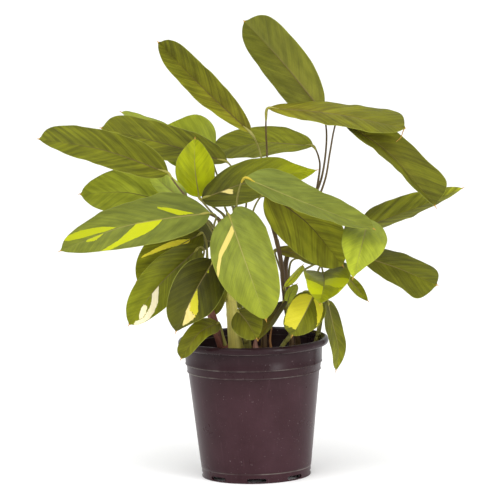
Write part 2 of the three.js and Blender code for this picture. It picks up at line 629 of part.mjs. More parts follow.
function lipPoints() {

	const centre = [ RIM_RADIUS - LIP.across, POT_HEIGHT - LIP.up ];
	const points = [];
	for ( let angle = LIP.start; angle <= LIP.end; angle += LIP.step ) {

		const turn = THREE.MathUtils.degToRad( angle );
		points.push( [ centre[ 0 ] + LIP.across * Math.cos( turn ), centre[ 1 ] + LIP.up * Math.sin( turn ) ] );

	}

	return points;

}

function potProfile() {

	const inside = ( z ) => wallRadius( z ) - WALL;
	const lipFoot = POT_HEIGHT - 2 * LIP.up - EDGE;
	const innerFoot = FOOT_RADIUS - FOOT_RING;
	const outerWall = [
		[ innerFoot, 0 ], [ FOOT_RADIUS - EDGE, 0 ], [ FOOT_RADIUS, EDGE ],
		[ FOOT_RADIUS, FOOT_LINE - EDGE ], [ BODY.low, FOOT_LINE + EDGE ],
		[ BODY.high, BODY_LINE ], [ BAND.low, BODY_LINE + STEP ],
		[ BAND.high, COLLAR_LINE ], [ COLLAR.low, COLLAR_LINE + STEP ],
		[ wallRadius( lipFoot ), lipFoot ],
	];
	const innerWall = [
		[ inside( POT_HEIGHT ) + EDGE, POT_HEIGHT - CORNER ], [ inside( lipFoot ), lipFoot ],
		[ inside( COLLAR_LINE + STEP ), COLLAR_LINE + STEP ],
		[ inside( COLLAR_LINE - STEP ), COLLAR_LINE - STEP ],
		[ inside( BODY_LINE ), BODY_LINE - STEP ], [ inside( FOOT_LINE ), FLOOR_TOP + CORNER ],
		[ inside( FOOT_LINE ) - CORNER, FLOOR_TOP ], [ 0, FLOOR_TOP ], [ 0, FLOOR_UNDER ],
		[ innerFoot - CORNER, FLOOR_UNDER ], [ innerFoot, FLOOR_UNDER - CORNER ], [ innerFoot, 0 ],
	];
	return [ ...outerWall, ...lipPoints(), ...innerWall ].map( ( point ) => new THREE.Vector2( ...point ) );

}

// A lathe turns about Y, and the part stands along Z
function turned( profile, segments ) {

	const geometry = new THREE.LatheGeometry( profile, segments );
	geometry.rotateX( Math.PI / 2 );
	return geometry;

}

function slotGeometry( index ) {

	const radius = ( SLOT.high - SLOT.low ) / 2;
	const half = SLOT.width / 2 - radius;
	const outline = new THREE.Shape();
	outline.absarc( half, 0, radius, - Math.PI / 2, Math.PI / 2 );
	outline.absarc( - half, 0, radius, Math.PI / 2, 3 * Math.PI / 2 );
	const settings = { depth: SLOT.deep, bevelEnabled: false, curveSegments: 3 };
	const geometry = new THREE.ExtrudeGeometry( outline, settings );
	geometry.rotateX( Math.PI / 2 );
	geometry.translate( 0, - FOOT_RADIUS + SLOT.deep / 2, ( SLOT.low + SLOT.high ) / 2 );
	geometry.rotateZ( 2 * Math.PI * index / SLOT.count );
	return geometry;

}

// A hole in the floor, between two slots
function drainGeometry( index ) {

	const geometry = new THREE.CylinderGeometry( DRAIN.radius, DRAIN.radius, DRAIN.deep, DRAIN.sides );
	geometry.rotateX( Math.PI / 2 );
	geometry.translate( 0, - DRAIN.ring, ( FLOOR_UNDER + FLOOR_TOP ) / 2 );
	geometry.rotateZ( 2 * Math.PI * ( index + 0.5 ) / SLOT.count );
	return geometry;

}

function potPiece() {

	let pot = solid( turned( potProfile(), POT_SIDES ) );
	for ( let i = 0; i < SLOT.count; i ++ ) {

		pot = pot.subtract( solid( slotGeometry( i ) ) );
		pot = pot.subtract( solid( drainGeometry( i ) ) );

	}

	return piece( 'pot', shape( pot ), FINISHES.pot );

}

// The soil: it fills the pot to below the rim, with a lumpy top and a hole for each root
function soilLift( x, y ) {

	const slow = Math.sin( x / 9 + 1 ) * Math.cos( y / 11 );
	const quick = Math.sin( y / 5 + x / 7 );
	return SOIL_LUMP * ( slow + 0.6 * quick );

}

function soilProfile() {

	const low = FLOOR_TOP + GAP;
	const outside = ( z ) => wallRadius( z ) - WALL - SOIL_CLEARANCE;
	const foot = outside( FOOT_LINE ) - GAP;
	const edge = outside( COLLAR_LINE );
	return [
		[ 0, low ], [ foot - CORNER, low ], [ foot, low + CORNER ],
		[ outside( BODY_LINE ), BODY_LINE - 2 * STEP ], [ edge, COLLAR_LINE - 2 * STEP ],
		[ edge, SOIL_LEVEL - CORNER ],
		...SOIL_RINGS.map( ( radius ) => [ radius, SOIL_LEVEL ] ),
	].map( ( point ) => new THREE.Vector2( ...point ) );

}

function soilPiece() {

	const geometry = turned( soilProfile(), SOIL_SIDES );
	const position = geometry.getAttribute( 'position' );
	for ( let i = 0; i < position.count; i ++ ) {

		const isTop = Math.abs( position.getZ( i ) - SOIL_LEVEL ) < 0.01;
		if ( isTop ) position.setZ( i, SOIL_LEVEL + soilLift( position.getX( i ), position.getY( i ) ) );

	}

	let soil = solid( geometry );
	for ( const root of rootHoles() ) soil = soil.subtract( solid( root ) );
	return piece( 'soil', shape( soil ), FINISHES.soil );

}

// Small shoots at the soil: a closed bud and a dry sheath
const SHOOTS = {
	bud: {
		path: [ [ 256, 350, - 30 ], [ 255.5, 344, - 30 ], [ 256, 337, - 31 ] ],
		radius: [ 4.6, 4.2, 0.6 ], finish: FINISHES.redSheath,
	},
	dry_sheath: {
		path: [ [ 271, 349, - 22 ], [ 270, 340, - 22 ], [ 272, 326, - 23 ] ],
		radius: [ 2.6, 1.5, 0.6 ], finish: FINISHES.drySheath,
	},
};
const SHOOT_SHOULDER = 0.6;
const shootCurves = curvesOf( SHOOTS );

function shootRadius( shoot, share ) {

	const [ low, middle, high ] = shoot.radius;
	if ( share < SHOOT_SHOULDER ) return THREE.MathUtils.mapLinear( share, 0, SHOOT_SHOULDER, low, middle );
	return THREE.MathUtils.mapLinear( share, SHOOT_SHOULDER, 1, middle, high );

}

function shootPiece( name ) {

	const shoot = SHOOTS[ name ];
	const tube = taperedTube( shootCurves[ name ], ( share ) => shootRadius( shoot, share ), 8, 8 );
	return piece( name, tube, shoot.finish );

}

// Straight holes, a little wider than the stems that stand in them
function rootHoles() {

	const stems = [
		...Object.keys( CANES ).map( ( name ) => [ caneCurves[ name ], caneRadius( name, 0 ) ] ),
		...Object.keys( SHOOTS ).map( ( name ) => [ shootCurves[ name ], SHOOTS[ name ].radius[ 0 ] ] ),
	];
	return stems.map( ( [ curve, radius ] ) => {

		const [ root, , mouth ] = curve.points;
		const reach = mouth.clone().sub( root );
		const low = root.clone().addScaledVector( reach, - GAP / reach.z );
		const high = mouth.clone().addScaledVector( reach, 0.3 );
		return taperedTube( new THREE.LineCurve3( low, high ), () => radius + ROOT_CLEARANCE, 8, 1 );

	} );

}

const plant = new THREE.Group();
plant.name = 'potted_golden_mosaic_calathea';
plant.add( potPiece(), soilPiece() );
for ( const name of Object.keys( CANES ) ) plant.add( canePiece( name ) );
for ( const name of Object.keys( SHOOTS ) ) plant.add( shootPiece( name ) );
for ( const [ name, leaf ] of Object.entries( LEAVES ) ) plant.add( leafPiece( name, leaf ) );

export default plant;
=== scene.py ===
# %% [markdown]
# A potted golden mosaic calathea, dressed for the picture.
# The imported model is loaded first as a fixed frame: it says where every cane, leaf and wall is,
# and it is never moved. Everything made below is in metres and in that same frame, so a piece
# that repeats a node's own measures lands exactly where the node is.

# %% The frame and the modules
import math
import random

import bmesh
import bpy
import numpy as np
from mathutils import Matrix, Vector, noise


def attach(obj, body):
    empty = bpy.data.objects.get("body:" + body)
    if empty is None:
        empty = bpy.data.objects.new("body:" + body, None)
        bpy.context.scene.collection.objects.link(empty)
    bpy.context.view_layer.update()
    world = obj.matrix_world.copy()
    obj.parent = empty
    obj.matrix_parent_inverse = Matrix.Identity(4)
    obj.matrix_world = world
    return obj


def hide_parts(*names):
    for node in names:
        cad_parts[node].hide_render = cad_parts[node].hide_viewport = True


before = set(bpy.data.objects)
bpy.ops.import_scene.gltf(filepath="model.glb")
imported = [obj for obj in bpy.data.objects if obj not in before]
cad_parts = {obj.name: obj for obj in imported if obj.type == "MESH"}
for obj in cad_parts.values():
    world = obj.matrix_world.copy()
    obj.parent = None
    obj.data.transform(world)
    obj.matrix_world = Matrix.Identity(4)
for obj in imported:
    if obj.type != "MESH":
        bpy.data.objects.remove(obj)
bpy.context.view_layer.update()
MM = 0.001
print("nodes in the frame:", len(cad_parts))

# %% [markdown]
# The photograph was taken from far off with a long lens, so lines stay almost parallel.
# The rim and the foot of the pot show as ellipses, and how open they are gives the pitch of
# the view. A focal length in pixels turns into a lens in millimetres through the width of the
# sensor, and the camera's axes are written out from pitch and roll, so nothing is aimed by eye.
# The same numbers serve a second time below: the place of a leaf is given as a pixel of the
# picture and a depth, which is how a maker reads a plant off a photograph.

# %% The view
PICTURE = 500
VIEW_DISTANCE = 5000
VIEW_HEIGHT = 911
VIEW_ASIDE = -1.2
FOCAL_PIXELS = 4480
PITCH = math.radians(7.46)
ROLL = math.radians(1.4)
SENSOR = 36
CLIP_END = 60


def at(place):
    """A pixel of the picture and a depth behind the pot's axis, as a point in millimetres."""
    px, py, depth = place
    u = (px - PICTURE / 2) / FOCAL_PIXELS
    v = (PICTURE / 2 - py) / FOCAL_PIXELS
    right = u * math.cos(ROLL) + v * math.sin(ROLL)
    up = v * math.cos(ROLL) - u * math.sin(ROLL)
    ahead = math.cos(PITCH) + up * math.sin(PITCH)
    rise = up * math.cos(PITCH) - math.sin(PITCH)
    reach = (depth + VIEW_DISTANCE) / ahead
    return np.array([VIEW_ASIDE + reach * right, depth, VIEW_HEIGHT + reach * rise])


def make_camera():
    data = bpy.data.cameras.new("camera")
    data.sensor_width = SENSOR
    data.lens = FOCAL_PIXELS / PICTURE * SENSOR
    data.clip_end = CLIP_END
    data.clip_end = 60
    camera = bpy.data.objects.new("camera", data)
    c, s = math.cos(ROLL), math.sin(ROLL)
    cp, sp = math.cos(PITCH), math.sin(PITCH)
    axes = Matrix(((c, s, 0), (-s * sp, c * sp, -cp), (-s * cp, c * cp, sp)))
    camera.matrix_world = axes.to_4x4()
    camera.location = Vector((VIEW_ASIDE, -VIEW_DISTANCE, VIEW_HEIGHT)) * MM
    bpy.context.scene.collection.objects.link(camera)
    bpy.context.scene.camera = camera
    return camera


print("lens", round(make_camera().data.lens, 1), "mm")

# %% [markdown]
# A studio picture on white: a white floor that fills the whole view, a white room all round,
# and soft lamps. A very wide sun from above and in front lights leaves and floor evenly, so
# that the floor stays white however far back it runs. The tall lamp on the right draws the
# upright sheen on the pot, and the one above lays pale gloss on the upper sides of the leaves.

# %% The floor
FLOOR_SIZE = 40


def make_floor():
    mesh = bpy.data.meshes.new("floor")
    half = FLOOR_SIZE / 2
    corners = [(-half, -half, 0), (half, -half, 0), (half, half, 0), (-half, half, 0)]
    mesh.from_pydata(corners, [], [(0, 1, 2, 3)])
    floor = bpy.data.objects.new("floor", mesh)
    bpy.context.scene.collection.objects.link(floor)
    return floor


floor = make_floor()
print("floor:", FLOOR_SIZE, "m across")

# %% The room and the lamps
ROOM_STRENGTH = 0.9
SUN = dict(direction=(0.15, 0.75, -1), strength=1.0, angle=70)
LAMPS = {
    "lamp above": dict(place=(-0.3, -0.9, 1.8), aim=(0, 0, 0.28), size=(0.8, 0.8), power=9),
    "lamp right": dict(place=(1.07, -1.32, 0.5), aim=(0, 0, 0.1), size=(0.4, 1.0), power=13),
    "lamp left": dict(place=(-1.8, -0.7, 0.5), aim=(0, 0, 0.15), size=(0.3, 1.2), power=3),
}


def hang(data, direction):
    """A light in the scene, turned to shine in the direction."""
    light = bpy.data.objects.new(data.name, data)
    light.rotation_euler = Vector(direction).to_track_quat("-Z", "Y").to_euler()
    bpy.context.scene.collection.objects.link(light)
    return light


def make_lamp(name, place, aim, size, power):
    data = bpy.data.lights.new(name, "AREA")
    data.shape = "RECTANGLE"
    data.size, data.size_y = size
    data.energy = power
    hang(data, Vector(aim) - Vector(place)).location = place


def make_sun(direction, strength, angle):
    data = bpy.data.lights.new("soft sky panel", "SUN")
    data.energy = strength
    data.angle = math.radians(angle)
    hang(data, direction)


world = bpy.data.worlds.new("white room")
world.use_nodes = True
background = world.node_tree.nodes["Background"]
background.inputs["Color"].default_value = (1, 1, 1, 1)
background.inputs["Strength"].default_value = ROOM_STRENGTH
bpy.context.scene.world = world
bpy.context.scene.view_settings.view_transform = "Standard"
make_sun(**SUN)
for name, lamp in LAMPS.items():
    make_lamp(name, **lamp)

# %% [markdown]
# Colours are picked as sRGB hex values, which is how a colour picker names them, and Blender's
# shaders work in linear light, so one function turns the one into the other. A second small
# function adds a shader node, sets it and links it, and gives back its first live output. Its
# inputs are a list where they come in the node's own order, and a dict where they are named.

# %% Colour and node helpers


def linear(code):
    """An sRGB hex value as linear RGBA."""
    channels = [int(code[i : i + 2], 16) / 255 for i in (1, 3, 5)]
    return (*[c / 12.92 if c <= 0.04045 else ((c + 0.055) / 1.055) ** 2.4 for c in channels], 1)


def add_node(material, kind, inputs=(), **settings):
    """Adds a node with its settings and links, and gives back its first live output."""
    node = material.node_tree.nodes.new("ShaderNode" + kind)
    for key, value in settings.items():
        setattr(node, key, value)
    for key, value in inputs.items() if isinstance(inputs, dict) else enumerate(inputs):
        if isinstance(value, bpy.types.NodeSocket):
            material.node_tree.links.new(value, node.inputs[key])
        else:
            node.inputs[key].default_value = value
    return next(socket for socket in node.outputs if socket.enabled)


def new_material(name, **settings):
    """A material whose one shader has the given constants set on its own sockets."""
    material = bpy.data.materials.new(name)
    material.use_nodes = True
    shader = material.node_tree.nodes["Principled BSDF"]
    for key, value in settings.items():
        shader.inputs[key.replace("_", " ")].default_value = value
    return material


def dress(material, colour, roughness, height, depth):
    """Links colour, roughness and a bump of the given depth in millimetres to the shader."""
    bump = add_node(material, "Bump", {"Height": height, "Strength": 1, "Distance": depth * MM})
    sockets = {"Base Color": colour, "Roughness": roughness, "Normal": bump}
    shader = material.node_tree.nodes["Principled BSDF"]
    for name, socket in sockets.items():
        if socket is not None:
            material.node_tree.links.new(socket, shader.inputs[name])


paper = new_material("matt white sweep", Base_Color=linear("#ffffff"), Roughness=0.9)
floor.data.materials.append(paper)
print("materials:", len(bpy.data.materials))

# %% [markdown]
# A leaf's skin is thin wax over green cells: satin, never chrome. What makes this plant is the
# pattern, and all of it follows the side veins, which leave the midrib at a slant and curve on
# towards the margin. So the meshes carry a map called vein: across it runs the distance along
# the veins' own slanted rows, in millimetres, and up it runs the distance from the midrib.
# Noise that is short across the veins and long along them then paints bars and fine streaks.
# It is given in millimetres, and each side of the midrib has a stretch of the noise to itself.
# A fold of the same distance, once for each vein, draws the side veins themselves.

# %% The pattern of a leaf
VEIN_SPACING = 2.6
BAR_WIDTH = 7.0
BAR_LENGTH = 60.0
STREAK_WIDTH = 1.5
STREAK_LENGTH = 35.0
SIDES_APART = 7.3
HERRING_EDGE = (0.46, 0.88)
VEIN_EDGE = (0.38, 0.5)
VEIN_WANDER = 2.0


def map_value(material, name, axis):
    """One number out of the named map."""
    place = add_node(material, "UVMap", uv_map=name)
    return add_node(material, "SeparateXYZ", [place]).node.outputs[axis]


def leaf_pattern(m):
    """Bars, fine streaks and side veins, and the distances that they are drawn by."""
    row = map_value(m, "vein", "X")
    across = map_value(m, "vein", "Y")
    out = add_node(m, "Math", [across], operation="ABSOLUTE")
    side = add_node(m, "Math", [across], operation="SIGN")
    noises = []
    for width, length, detail in ((BAR_WIDTH, BAR_LENGTH, 1.5), (STREAK_WIDTH, STREAK_LENGTH, 3)):
        place = add_node(m, "CombineXYZ", [
            add_node(m, "Math", [row, width], operation="DIVIDE"),
            add_node(m, "Math", [out, length], operation="DIVIDE"),
            add_node(m, "Math", [side, SIDES_APART], operation="MULTIPLY"),
        ])
        grain = {"Vector": place, "Scale": 1, "Detail": detail, "Roughness": 0.55}
        noises.append(add_node(m, "TexNoise", grain))
    bars, fine = noises
    finer = add_node(m, "Math", [fine, 0.3], operation="MULTIPLY")
    frayed = add_node(m, "Math", [bars, finer], operation="ADD")
    herring = add_node(m, "MapRange", [frayed, *HERRING_EDGE], interpolation_type="SMOOTHSTEP")
    steps = add_node(m, "Math", [row, VEIN_SPACING], operation="DIVIDE")
    wander = add_node(m, "Math", [bars, VEIN_WANDER], operation="MULTIPLY")
    wavy = add_node(m, "Math", [steps, wander], operation="ADD")
    wave = add_node(m, "Math", [wavy, 0.5], operation="PINGPONG")
    vein = add_node(m, "MapRange", [wave, *VEIN_EDGE], interpolation_type="SMOOTHSTEP")
    return dict(row=row, across=across, out=out, bars=bars, fine=fine, herring=herring, vein=vein)


print("side veins every", VEIN_SPACING, "mm, bars every", BAR_WIDTH, "mm")

# %% [markdown]
# The green tissue is painted in layers, dark ones first: dark olive with lighter flecks, the
# bars of the herringbone, the side veins, fresh yellow-green where the leaf is young, and then
# a greyish bloom, partly a painted sheen, or a red-brown tinge, which is strongest beside the
# midrib. The underside is duller. The maps called tone, rib and face hold what each leaf has of
# its own: how light and how lime it is, which way its tinge goes, and how strongly the
# herringbone shows. How light a leaf is comes partly from its own tone and partly from painted
# light and painted shade, set from base to tip for how much light each part gets.

# %% The green of a leaf
VEINS_SHOW = 0.1
TINGE_NEAR_RIB, TINGE_ALL_OVER = 0.6, 0.5
RIB_TINGE_REACH = 7.0
EULER = 2.718
DULL_UNDERSIDE = 0.4
MOTTLE_LENGTH, MOTTLE_WIDTH = 20.0, 11.0
MOTTLE_VALUES = (0.82, 1.18)


def leaf_green(m, pattern):
    """The green of both sides, lighter or darker along the leaf: partly its own tone, partly painted
    light and painted shade.
    """
    cast = map_value(m, "rib", "Y")
    contrast = map_value(m, "face", "Y")
    fine = pattern["fine"]
    flecks = add_node(m, "MapRange", [fine, 0.2, 0.8], interpolation_type="SMOOTHSTEP")
    bars = add_node(m, "Math", [pattern["herring"], contrast], operation="MULTIPLY")
    veins = add_node(m, "Math", [pattern["vein"], VEINS_SHOW], operation="MULTIPLY")
    young = add_node(m, "MapRange", [fine, 0.25, 0.75], interpolation_type="SMOOTHSTEP")
    fresh = add_node(m, "Mix", {0: young, 6: linear("#7d8500"), 7: linear("#939a04")}, data_type="RGBA")
    # A greyish bloom: partly the wax's own colour, partly a painted sheen, the pale gloss of the white
    # room painted into the colour.
    bloom_and_painted_sheen = add_node(m, "Math", [cast, -1.0], operation="MULTIPLY", use_clamp=True)
    fall = add_node(m, "Math", [pattern["out"], -RIB_TINGE_REACH], operation="DIVIDE")
    near_rib = add_node(m, "Math", [EULER, fall], operation="POWER")
    spread = add_node(m, "Math", [near_rib, TINGE_NEAR_RIB], operation="MULTIPLY")
    spread = add_node(m, "Math", [spread, TINGE_ALL_OVER], operation="ADD")
    tinge = add_node(m, "Math", [cast, spread], operation="MULTIPLY", use_clamp=True)
    colour = linear("#3f4005")
    for share, over in (
        (flecks, linear("#57580b")), (bars, linear("#767a14")), (veins, linear("#85882c")),
        (map_value(m, "tone", "Y"), fresh), (bloom_and_painted_sheen, linear("#74813a")), (tinge, linear("#4e3d18")),
    ):
        colour = add_node(m, "Mix", {0: share, 6: colour, 7: over}, data_type="RGBA")
    dull = {0: DULL_UNDERSIDE, 6: colour, 7: linear("#67692c")}
    under = add_node(m, "Mix", dull, data_type="RGBA")
    upper = map_value(m, "face", "X")
    sided = add_node(m, "Mix", {0: upper, 6: under, 7: colour}, data_type="RGBA")
    place = add_node(m, "CombineXYZ", [
        add_node(m, "Math", [pattern["row"], MOTTLE_LENGTH], operation="DIVIDE"),
        add_node(m, "Math", [pattern["across"], MOTTLE_WIDTH], operation="DIVIDE"),
    ])
    mottle = add_node(m, "TexNoise", {"Vector": place, "Scale": 1, "Detail": 3})
    values = [mottle, 0.3, 0.7, *MOTTLE_VALUES]
    uneven = add_node(m, "MapRange", values, interpolation_type="SMOOTHSTEP")
    # light scales the green: partly the leaf's own tone, partly painted light and painted shade for how
    # much light each part gets.
    light = add_node(m, "Math", [map_value(m, "tone", "X"), 1.0], operation="ADD")
    value = add_node(m, "Math", [light, uneven], operation="MULTIPLY")
    return add_node(m, "HueSaturation", {"Color": sided, "Value": value})


print("the green is mottled every", MOTTLE_WIDTH, "mm")

# %% [markdown]
# Over the green lies the mosaic, where the plant makes no green at all. Each patch is a field:
# the map called mosaic holds how many millimetres inside its edge a spot is, and its tone. The
# same fine streaks push that edge in and out along the veins, so that it frays as a real one
# does. The map called face is over 1 where a leaf's mosaic is painted brighter, as painted light
# on patches that lie in shade, and 0 on every underside. The midrib, the pale rim and the
# withered tip are drawn last, over everything.

# %% The mosaic and the lines of a leaf
FRAY = 5.0
PATCH_EDGE = (-0.25, 0.25)
PATCH_STREAKS = 0.3
RIB_WIDTHS = (0.95, 0.25)
RIB_EDGE = (0.55, 1.05)
RIB_SHOWS = 0.85
RIM_EDGE = (0.96, 0.99)
RIM_SHOWS = 0.6
TIP_START, TIP_SHOWS = 0.988, 0.8


def leaf_gold(m, pattern, green):
    """Yellow and cream patches over the green, where their field is above zero."""
    tone = map_value(m, "mosaic", "Y")
    lemon = add_node(m, "Math", [tone, 2.0], operation="MULTIPLY", use_clamp=True)
    butter = add_node(m, "Math", [tone, 4.0, -2.0], operation="MULTIPLY_ADD", use_clamp=True)
    cream = add_node(m, "Math", [tone, 4.0, -3.0], operation="MULTIPLY_ADD", use_clamp=True)
    streaks = add_node(m, "MapRange", [pattern["fine"], 0.4, 0.75], interpolation_type="SMOOTHSTEP")
    faint = add_node(m, "Math", [streaks, PATCH_STREAKS], operation="MULTIPLY")
    colour = linear("#858f00")
    for share, code in ((lemon, "#a8ae08"), (butter, "#c8b23c"), (cream, "#d4caa8"), (faint, "#a5a12a")):
        colour = add_node(m, "Mix", {0: share, 6: colour, 7: linear(code)}, data_type="RGBA")
    # The face map brightens the mosaic, as painted light on patches that lie in shade.
    mosaic_painted_light = add_node(m, "Math", [map_value(m, "face", "X"), 1.0], operation="MAXIMUM")
    gold = add_node(m, "HueSaturation", {"Color": colour, "Value": mosaic_painted_light})
    fray = add_node(m, "Math", [pattern["fine"], 0.5], operation="SUBTRACT")
    fray = add_node(m, "Math", [fray, FRAY], operation="MULTIPLY")
    field = add_node(m, "Math", [map_value(m, "mosaic", "X"), fray], operation="ADD")
    inside = add_node(m, "MapRange", [field, *PATCH_EDGE], interpolation_type="SMOOTHSTEP")
    return add_node(m, "Mix", {0: inside, 6: green, 7: gold}, data_type="RGBA")


def leaf_lines(m, pattern, colour):
    """The midrib, the pale rim and the withered tip, drawn over the colour."""
    along = map_value(m, "blade", "X")
    width = add_node(m, "MapRange", [along, 0.0, 0.95, *RIB_WIDTHS], interpolation_type="SMOOTHSTEP")
    reach = add_node(m, "Math", [pattern["out"], width], operation="DIVIDE")
    beyond = add_node(m, "MapRange", [reach, *RIB_EDGE], interpolation_type="SMOOTHSTEP")
    rib = add_node(m, "Math", [1.0, beyond], operation="SUBTRACT")
    fade = add_node(m, "MapRange", [along, 0.55, 0.98, 1.0, 0.25], interpolation_type="SMOOTHSTEP")
    rib = add_node(m, "Math", [rib, fade], operation="MULTIPLY")
    rib = add_node(m, "Math", [rib, RIB_SHOWS], operation="MULTIPLY")
    tone = map_value(m, "rib", "X")
    cord = add_node(m, "Mix", {0: tone, 6: linear("#4a3822"), 7: linear("#9a9450")}, data_type="RGBA")
    margin = add_node(m, "Math", [map_value(m, "blade", "Y")], operation="ABSOLUTE")
    rim = add_node(m, "MapRange", [margin, *RIM_EDGE], interpolation_type="SMOOTHSTEP")
    rim = add_node(m, "Math", [rim, RIM_SHOWS], operation="MULTIPLY")
    tip = add_node(m, "MapRange", [along, TIP_START, 1.0, 0, TIP_SHOWS], interpolation_type="SMOOTHSTEP")
    for share, over in ((rib, cord), (rim, linear("#8d9238")), (tip, linear("#a8802c"))):
        colour = add_node(m, "Mix", {0: share, 6: colour, 7: over}, data_type="RGBA")
    return colour


print("patch edges fray by up to", FRAY / 2, "mm")

# %% [markdown]
# Wax has an index of refraction of about 1.45. Its gloss is broken by the same bars, veins and
# streaks as the colour, as a shallow bump, so that light runs along the side veins.

# %% The leaf's skin
LEAF_RELIEF = 0.25
LEAF_ROUGHNESS = (0.36, 0.52)


def leaf_material():
    m = new_material("waxy leaf skin", Roughness=0.4, IOR=1.45, Specular_IOR_Level=0.16)
    pattern = leaf_pattern(m)
    patched = leaf_gold(m, pattern, leaf_green(m, pattern))
    gloss = add_node(m, "MapRange", [pattern["fine"], 0.3, 0.7, *LEAF_ROUGHNESS])
    relief = add_node(m, "Math", [
        add_node(m, "Math", [pattern["vein"], 0.5], operation="MULTIPLY"),
        add_node(m, "Math", [pattern["fine"], 0.5], operation="MULTIPLY"),
    ], operation="ADD")
    bars = add_node(m, "Math", [pattern["bars"], 1.2], operation="MULTIPLY")
    relief = add_node(m, "Math", [relief, bars], operation="ADD")
    dress(m, leaf_lines(m, pattern, patched), gloss, relief, LEAF_RELIEF)
    return m


leaf_skin = leaf_material()
print(leaf_skin.name, len(leaf_skin.node_tree.nodes), "nodes")

# %% [markdown]
# Petioles, canes, buds and sheaths are the same soft plant tissue: round, ribbed lengthwise,
# pale green where young and red-brown where the sheath has aged. Their mesh map called vein
# gives here the way round the stem and the distance along it in metres, so that streaks run
# lengthwise, thin ones about 36 mm long and broad blotches. Each finish has a young colour, an
# aged one and how much of it has turned, from 0 to 1, and a roughness where it is drier than
# fresh tissue, which has the satin sheen of a thin skin of wax.

# %% Stems
STREAKS_TO_THE_METRE = 28
BLOTCHES_TO_THE_METRE = 36
STEM_RELIEF = 0.3
STEM_FINISHES = {
    "olive petiole": ("#7d7838", "#5a4a26", 0.4),
    "brown petiole": ("#5d4c2a", "#3c2a18", 0.5),
    "pale petiole": ("#8f8468", "#6a5a40", 0.4),
    "olive pulvinus": ("#8f8a38", "#6a5a2a", 0.35),
    "brown pulvinus": ("#6e5a2c", "#4a3820", 0.4),
    "pale pulvinus": ("#8f8a48", "#7a6a3a", 0.35),
    "yellow pulvinus": ("#bba52e", "#8a6a2a", 0.25),
    "withered drip tip": ("#b78a3a", "#7d4a20", 0.5, 0.7),
    "pale clasping sheath": ("#c9bf5c", "#9a8440", 0.3),
    "red-brown sheath": ("#7c4a3c", "#4a2a20", 0.5),
    "brown stem": ("#6a5334", "#3a241a", 0.6),
    "olive stem": ("#938f48", "#6a5a30", 0.4),
    "closed bud": ("#a9786a", "#6a3c30", 0.5),
    "dry papery sheath": ("#a9784a", "#6b4526", 0.5, 0.8),
}


def stem_material(name, young, aged, age, roughness=0.5):
    """Ribbed stem tissue, turned from its young colour to its aged one in streaks."""
    m = new_material(name, Roughness=roughness, IOR=1.45, Specular_IOR_Level=0.4)
    place = add_node(m, "UVMap", uv_map="vein")
    spot = add_node(m, "Mapping", {"Vector": place, "Scale": (9, STREAKS_TO_THE_METRE, 1)})
    streak = add_node(m, "TexNoise", {"Vector": spot, "Scale": 1, "Detail": 4, "Roughness": 0.6})
    patch = add_node(m, "Mapping", {"Vector": place, "Scale": (1.4, BLOTCHES_TO_THE_METRE, 1)})
    blotch = add_node(m, "TexNoise", {"Vector": patch, "Scale": 1, "Detail": 2})
    both = add_node(m, "Math", [streak, blotch], operation="ADD")
    share = add_node(m, "MapRange", [both, 1.35 - 0.7 * age, 1.65 - 0.7 * age])
    tissue = add_node(m, "Mix", {0: share, 6: linear(young), 7: linear(aged)}, data_type="RGBA")
    value = add_node(m, "MapRange", [streak, 0.3, 0.7, 0.75, 1.2])
    colour = add_node(m, "HueSaturation", {"Color": tissue, "Value": value})
    dress(m, colour, None, streak, STEM_RELIEF)
    return m


stem_skins = {name: stem_material(name, *finish) for name, finish in STEM_FINISHES.items()}
print("stem finishes:", len(stem_skins))

# %% [markdown]
# A smooth route through a few points carries every stem, petiole and midrib. It is the
# centripetal Catmull-Rom spline, which passes through its points without looping, and it is
# walked by its length, so that a share of 0.5 is half way along.

# %% Routes


class Route:
    """A centripetal Catmull-Rom spline, walked by share of its length."""

    STEPS = 200

    def __init__(self, points):
        self.points = np.array(points, float)
        self.grid = np.linspace(0, 1, self.STEPS + 1)
        steps = np.linalg.norm(np.diff(self.raw(self.grid), axis=0), axis=1)
        self.lengths = np.concatenate([[0], np.cumsum(steps)])
        self.length = self.lengths[-1]

    def raw(self, t):
        p = self.points
        ends = [2 * p[0] - p[1], *p, 2 * p[-1] - p[-2]]
        spans = len(p) - 1
        which = np.minimum((t * spans).astype(int), spans - 1)
        w = (t * spans - which)[:, None]
        a, b, c, d = (np.array(ends)[which + k] for k in range(4))
        gaps = [np.maximum(np.linalg.norm(q - r, axis=1), 1e-8)[:, None] ** 0.5
                for q, r in ((b, a), (c, b), (d, c))]
        g0, g1, g2 = gaps
        m1 = ((b - a) / g0 - (c - a) / (g0 + g1) + (c - b) / g1) * g1
        m2 = ((c - b) / g1 - (d - b) / (g1 + g2) + (d - c) / g2) * g1
        return b + m1 * w + (3 * (c - b) - 2 * m1 - m2) * w**2 + (2 * (b - c) + m1 + m2) * w**3

    def parameter(self, share):
        return np.interp(np.atleast_1d(share) * self.length, self.lengths, self.grid)

    def at(self, share):
        return self.raw(self.parameter(share))

    def tangent(self, share):
        t = self.parameter(share)
        step = self.raw(np.minimum(t + 1e-4, 1)) - self.raw(np.maximum(t - 1e-4, 0))
        return step / np.linalg.norm(step, axis=1)[:, None]


def smooth_table(pairs):
    """A smooth curve through pairs of share and width, as a function."""
    walk = Route(pairs).raw(np.linspace(0, 1, 400))
    return lambda share: np.interp(share, walk[:, 0], walk[:, 1])


print("a test route is", round(Route([(0, 0, 0), (10, 0, 0), (10, 10, 0)]).length, 2), "mm long")

# %% [markdown]
# Every piece is gathered from parts: grids of points with faces, a finish and map values.
# The gatherer joins the parts in one mesh, turns millimetres into metres and writes the maps.
# Nothing here is an operator, so the order of objects and selections never matters.

# %% Gathering a mesh


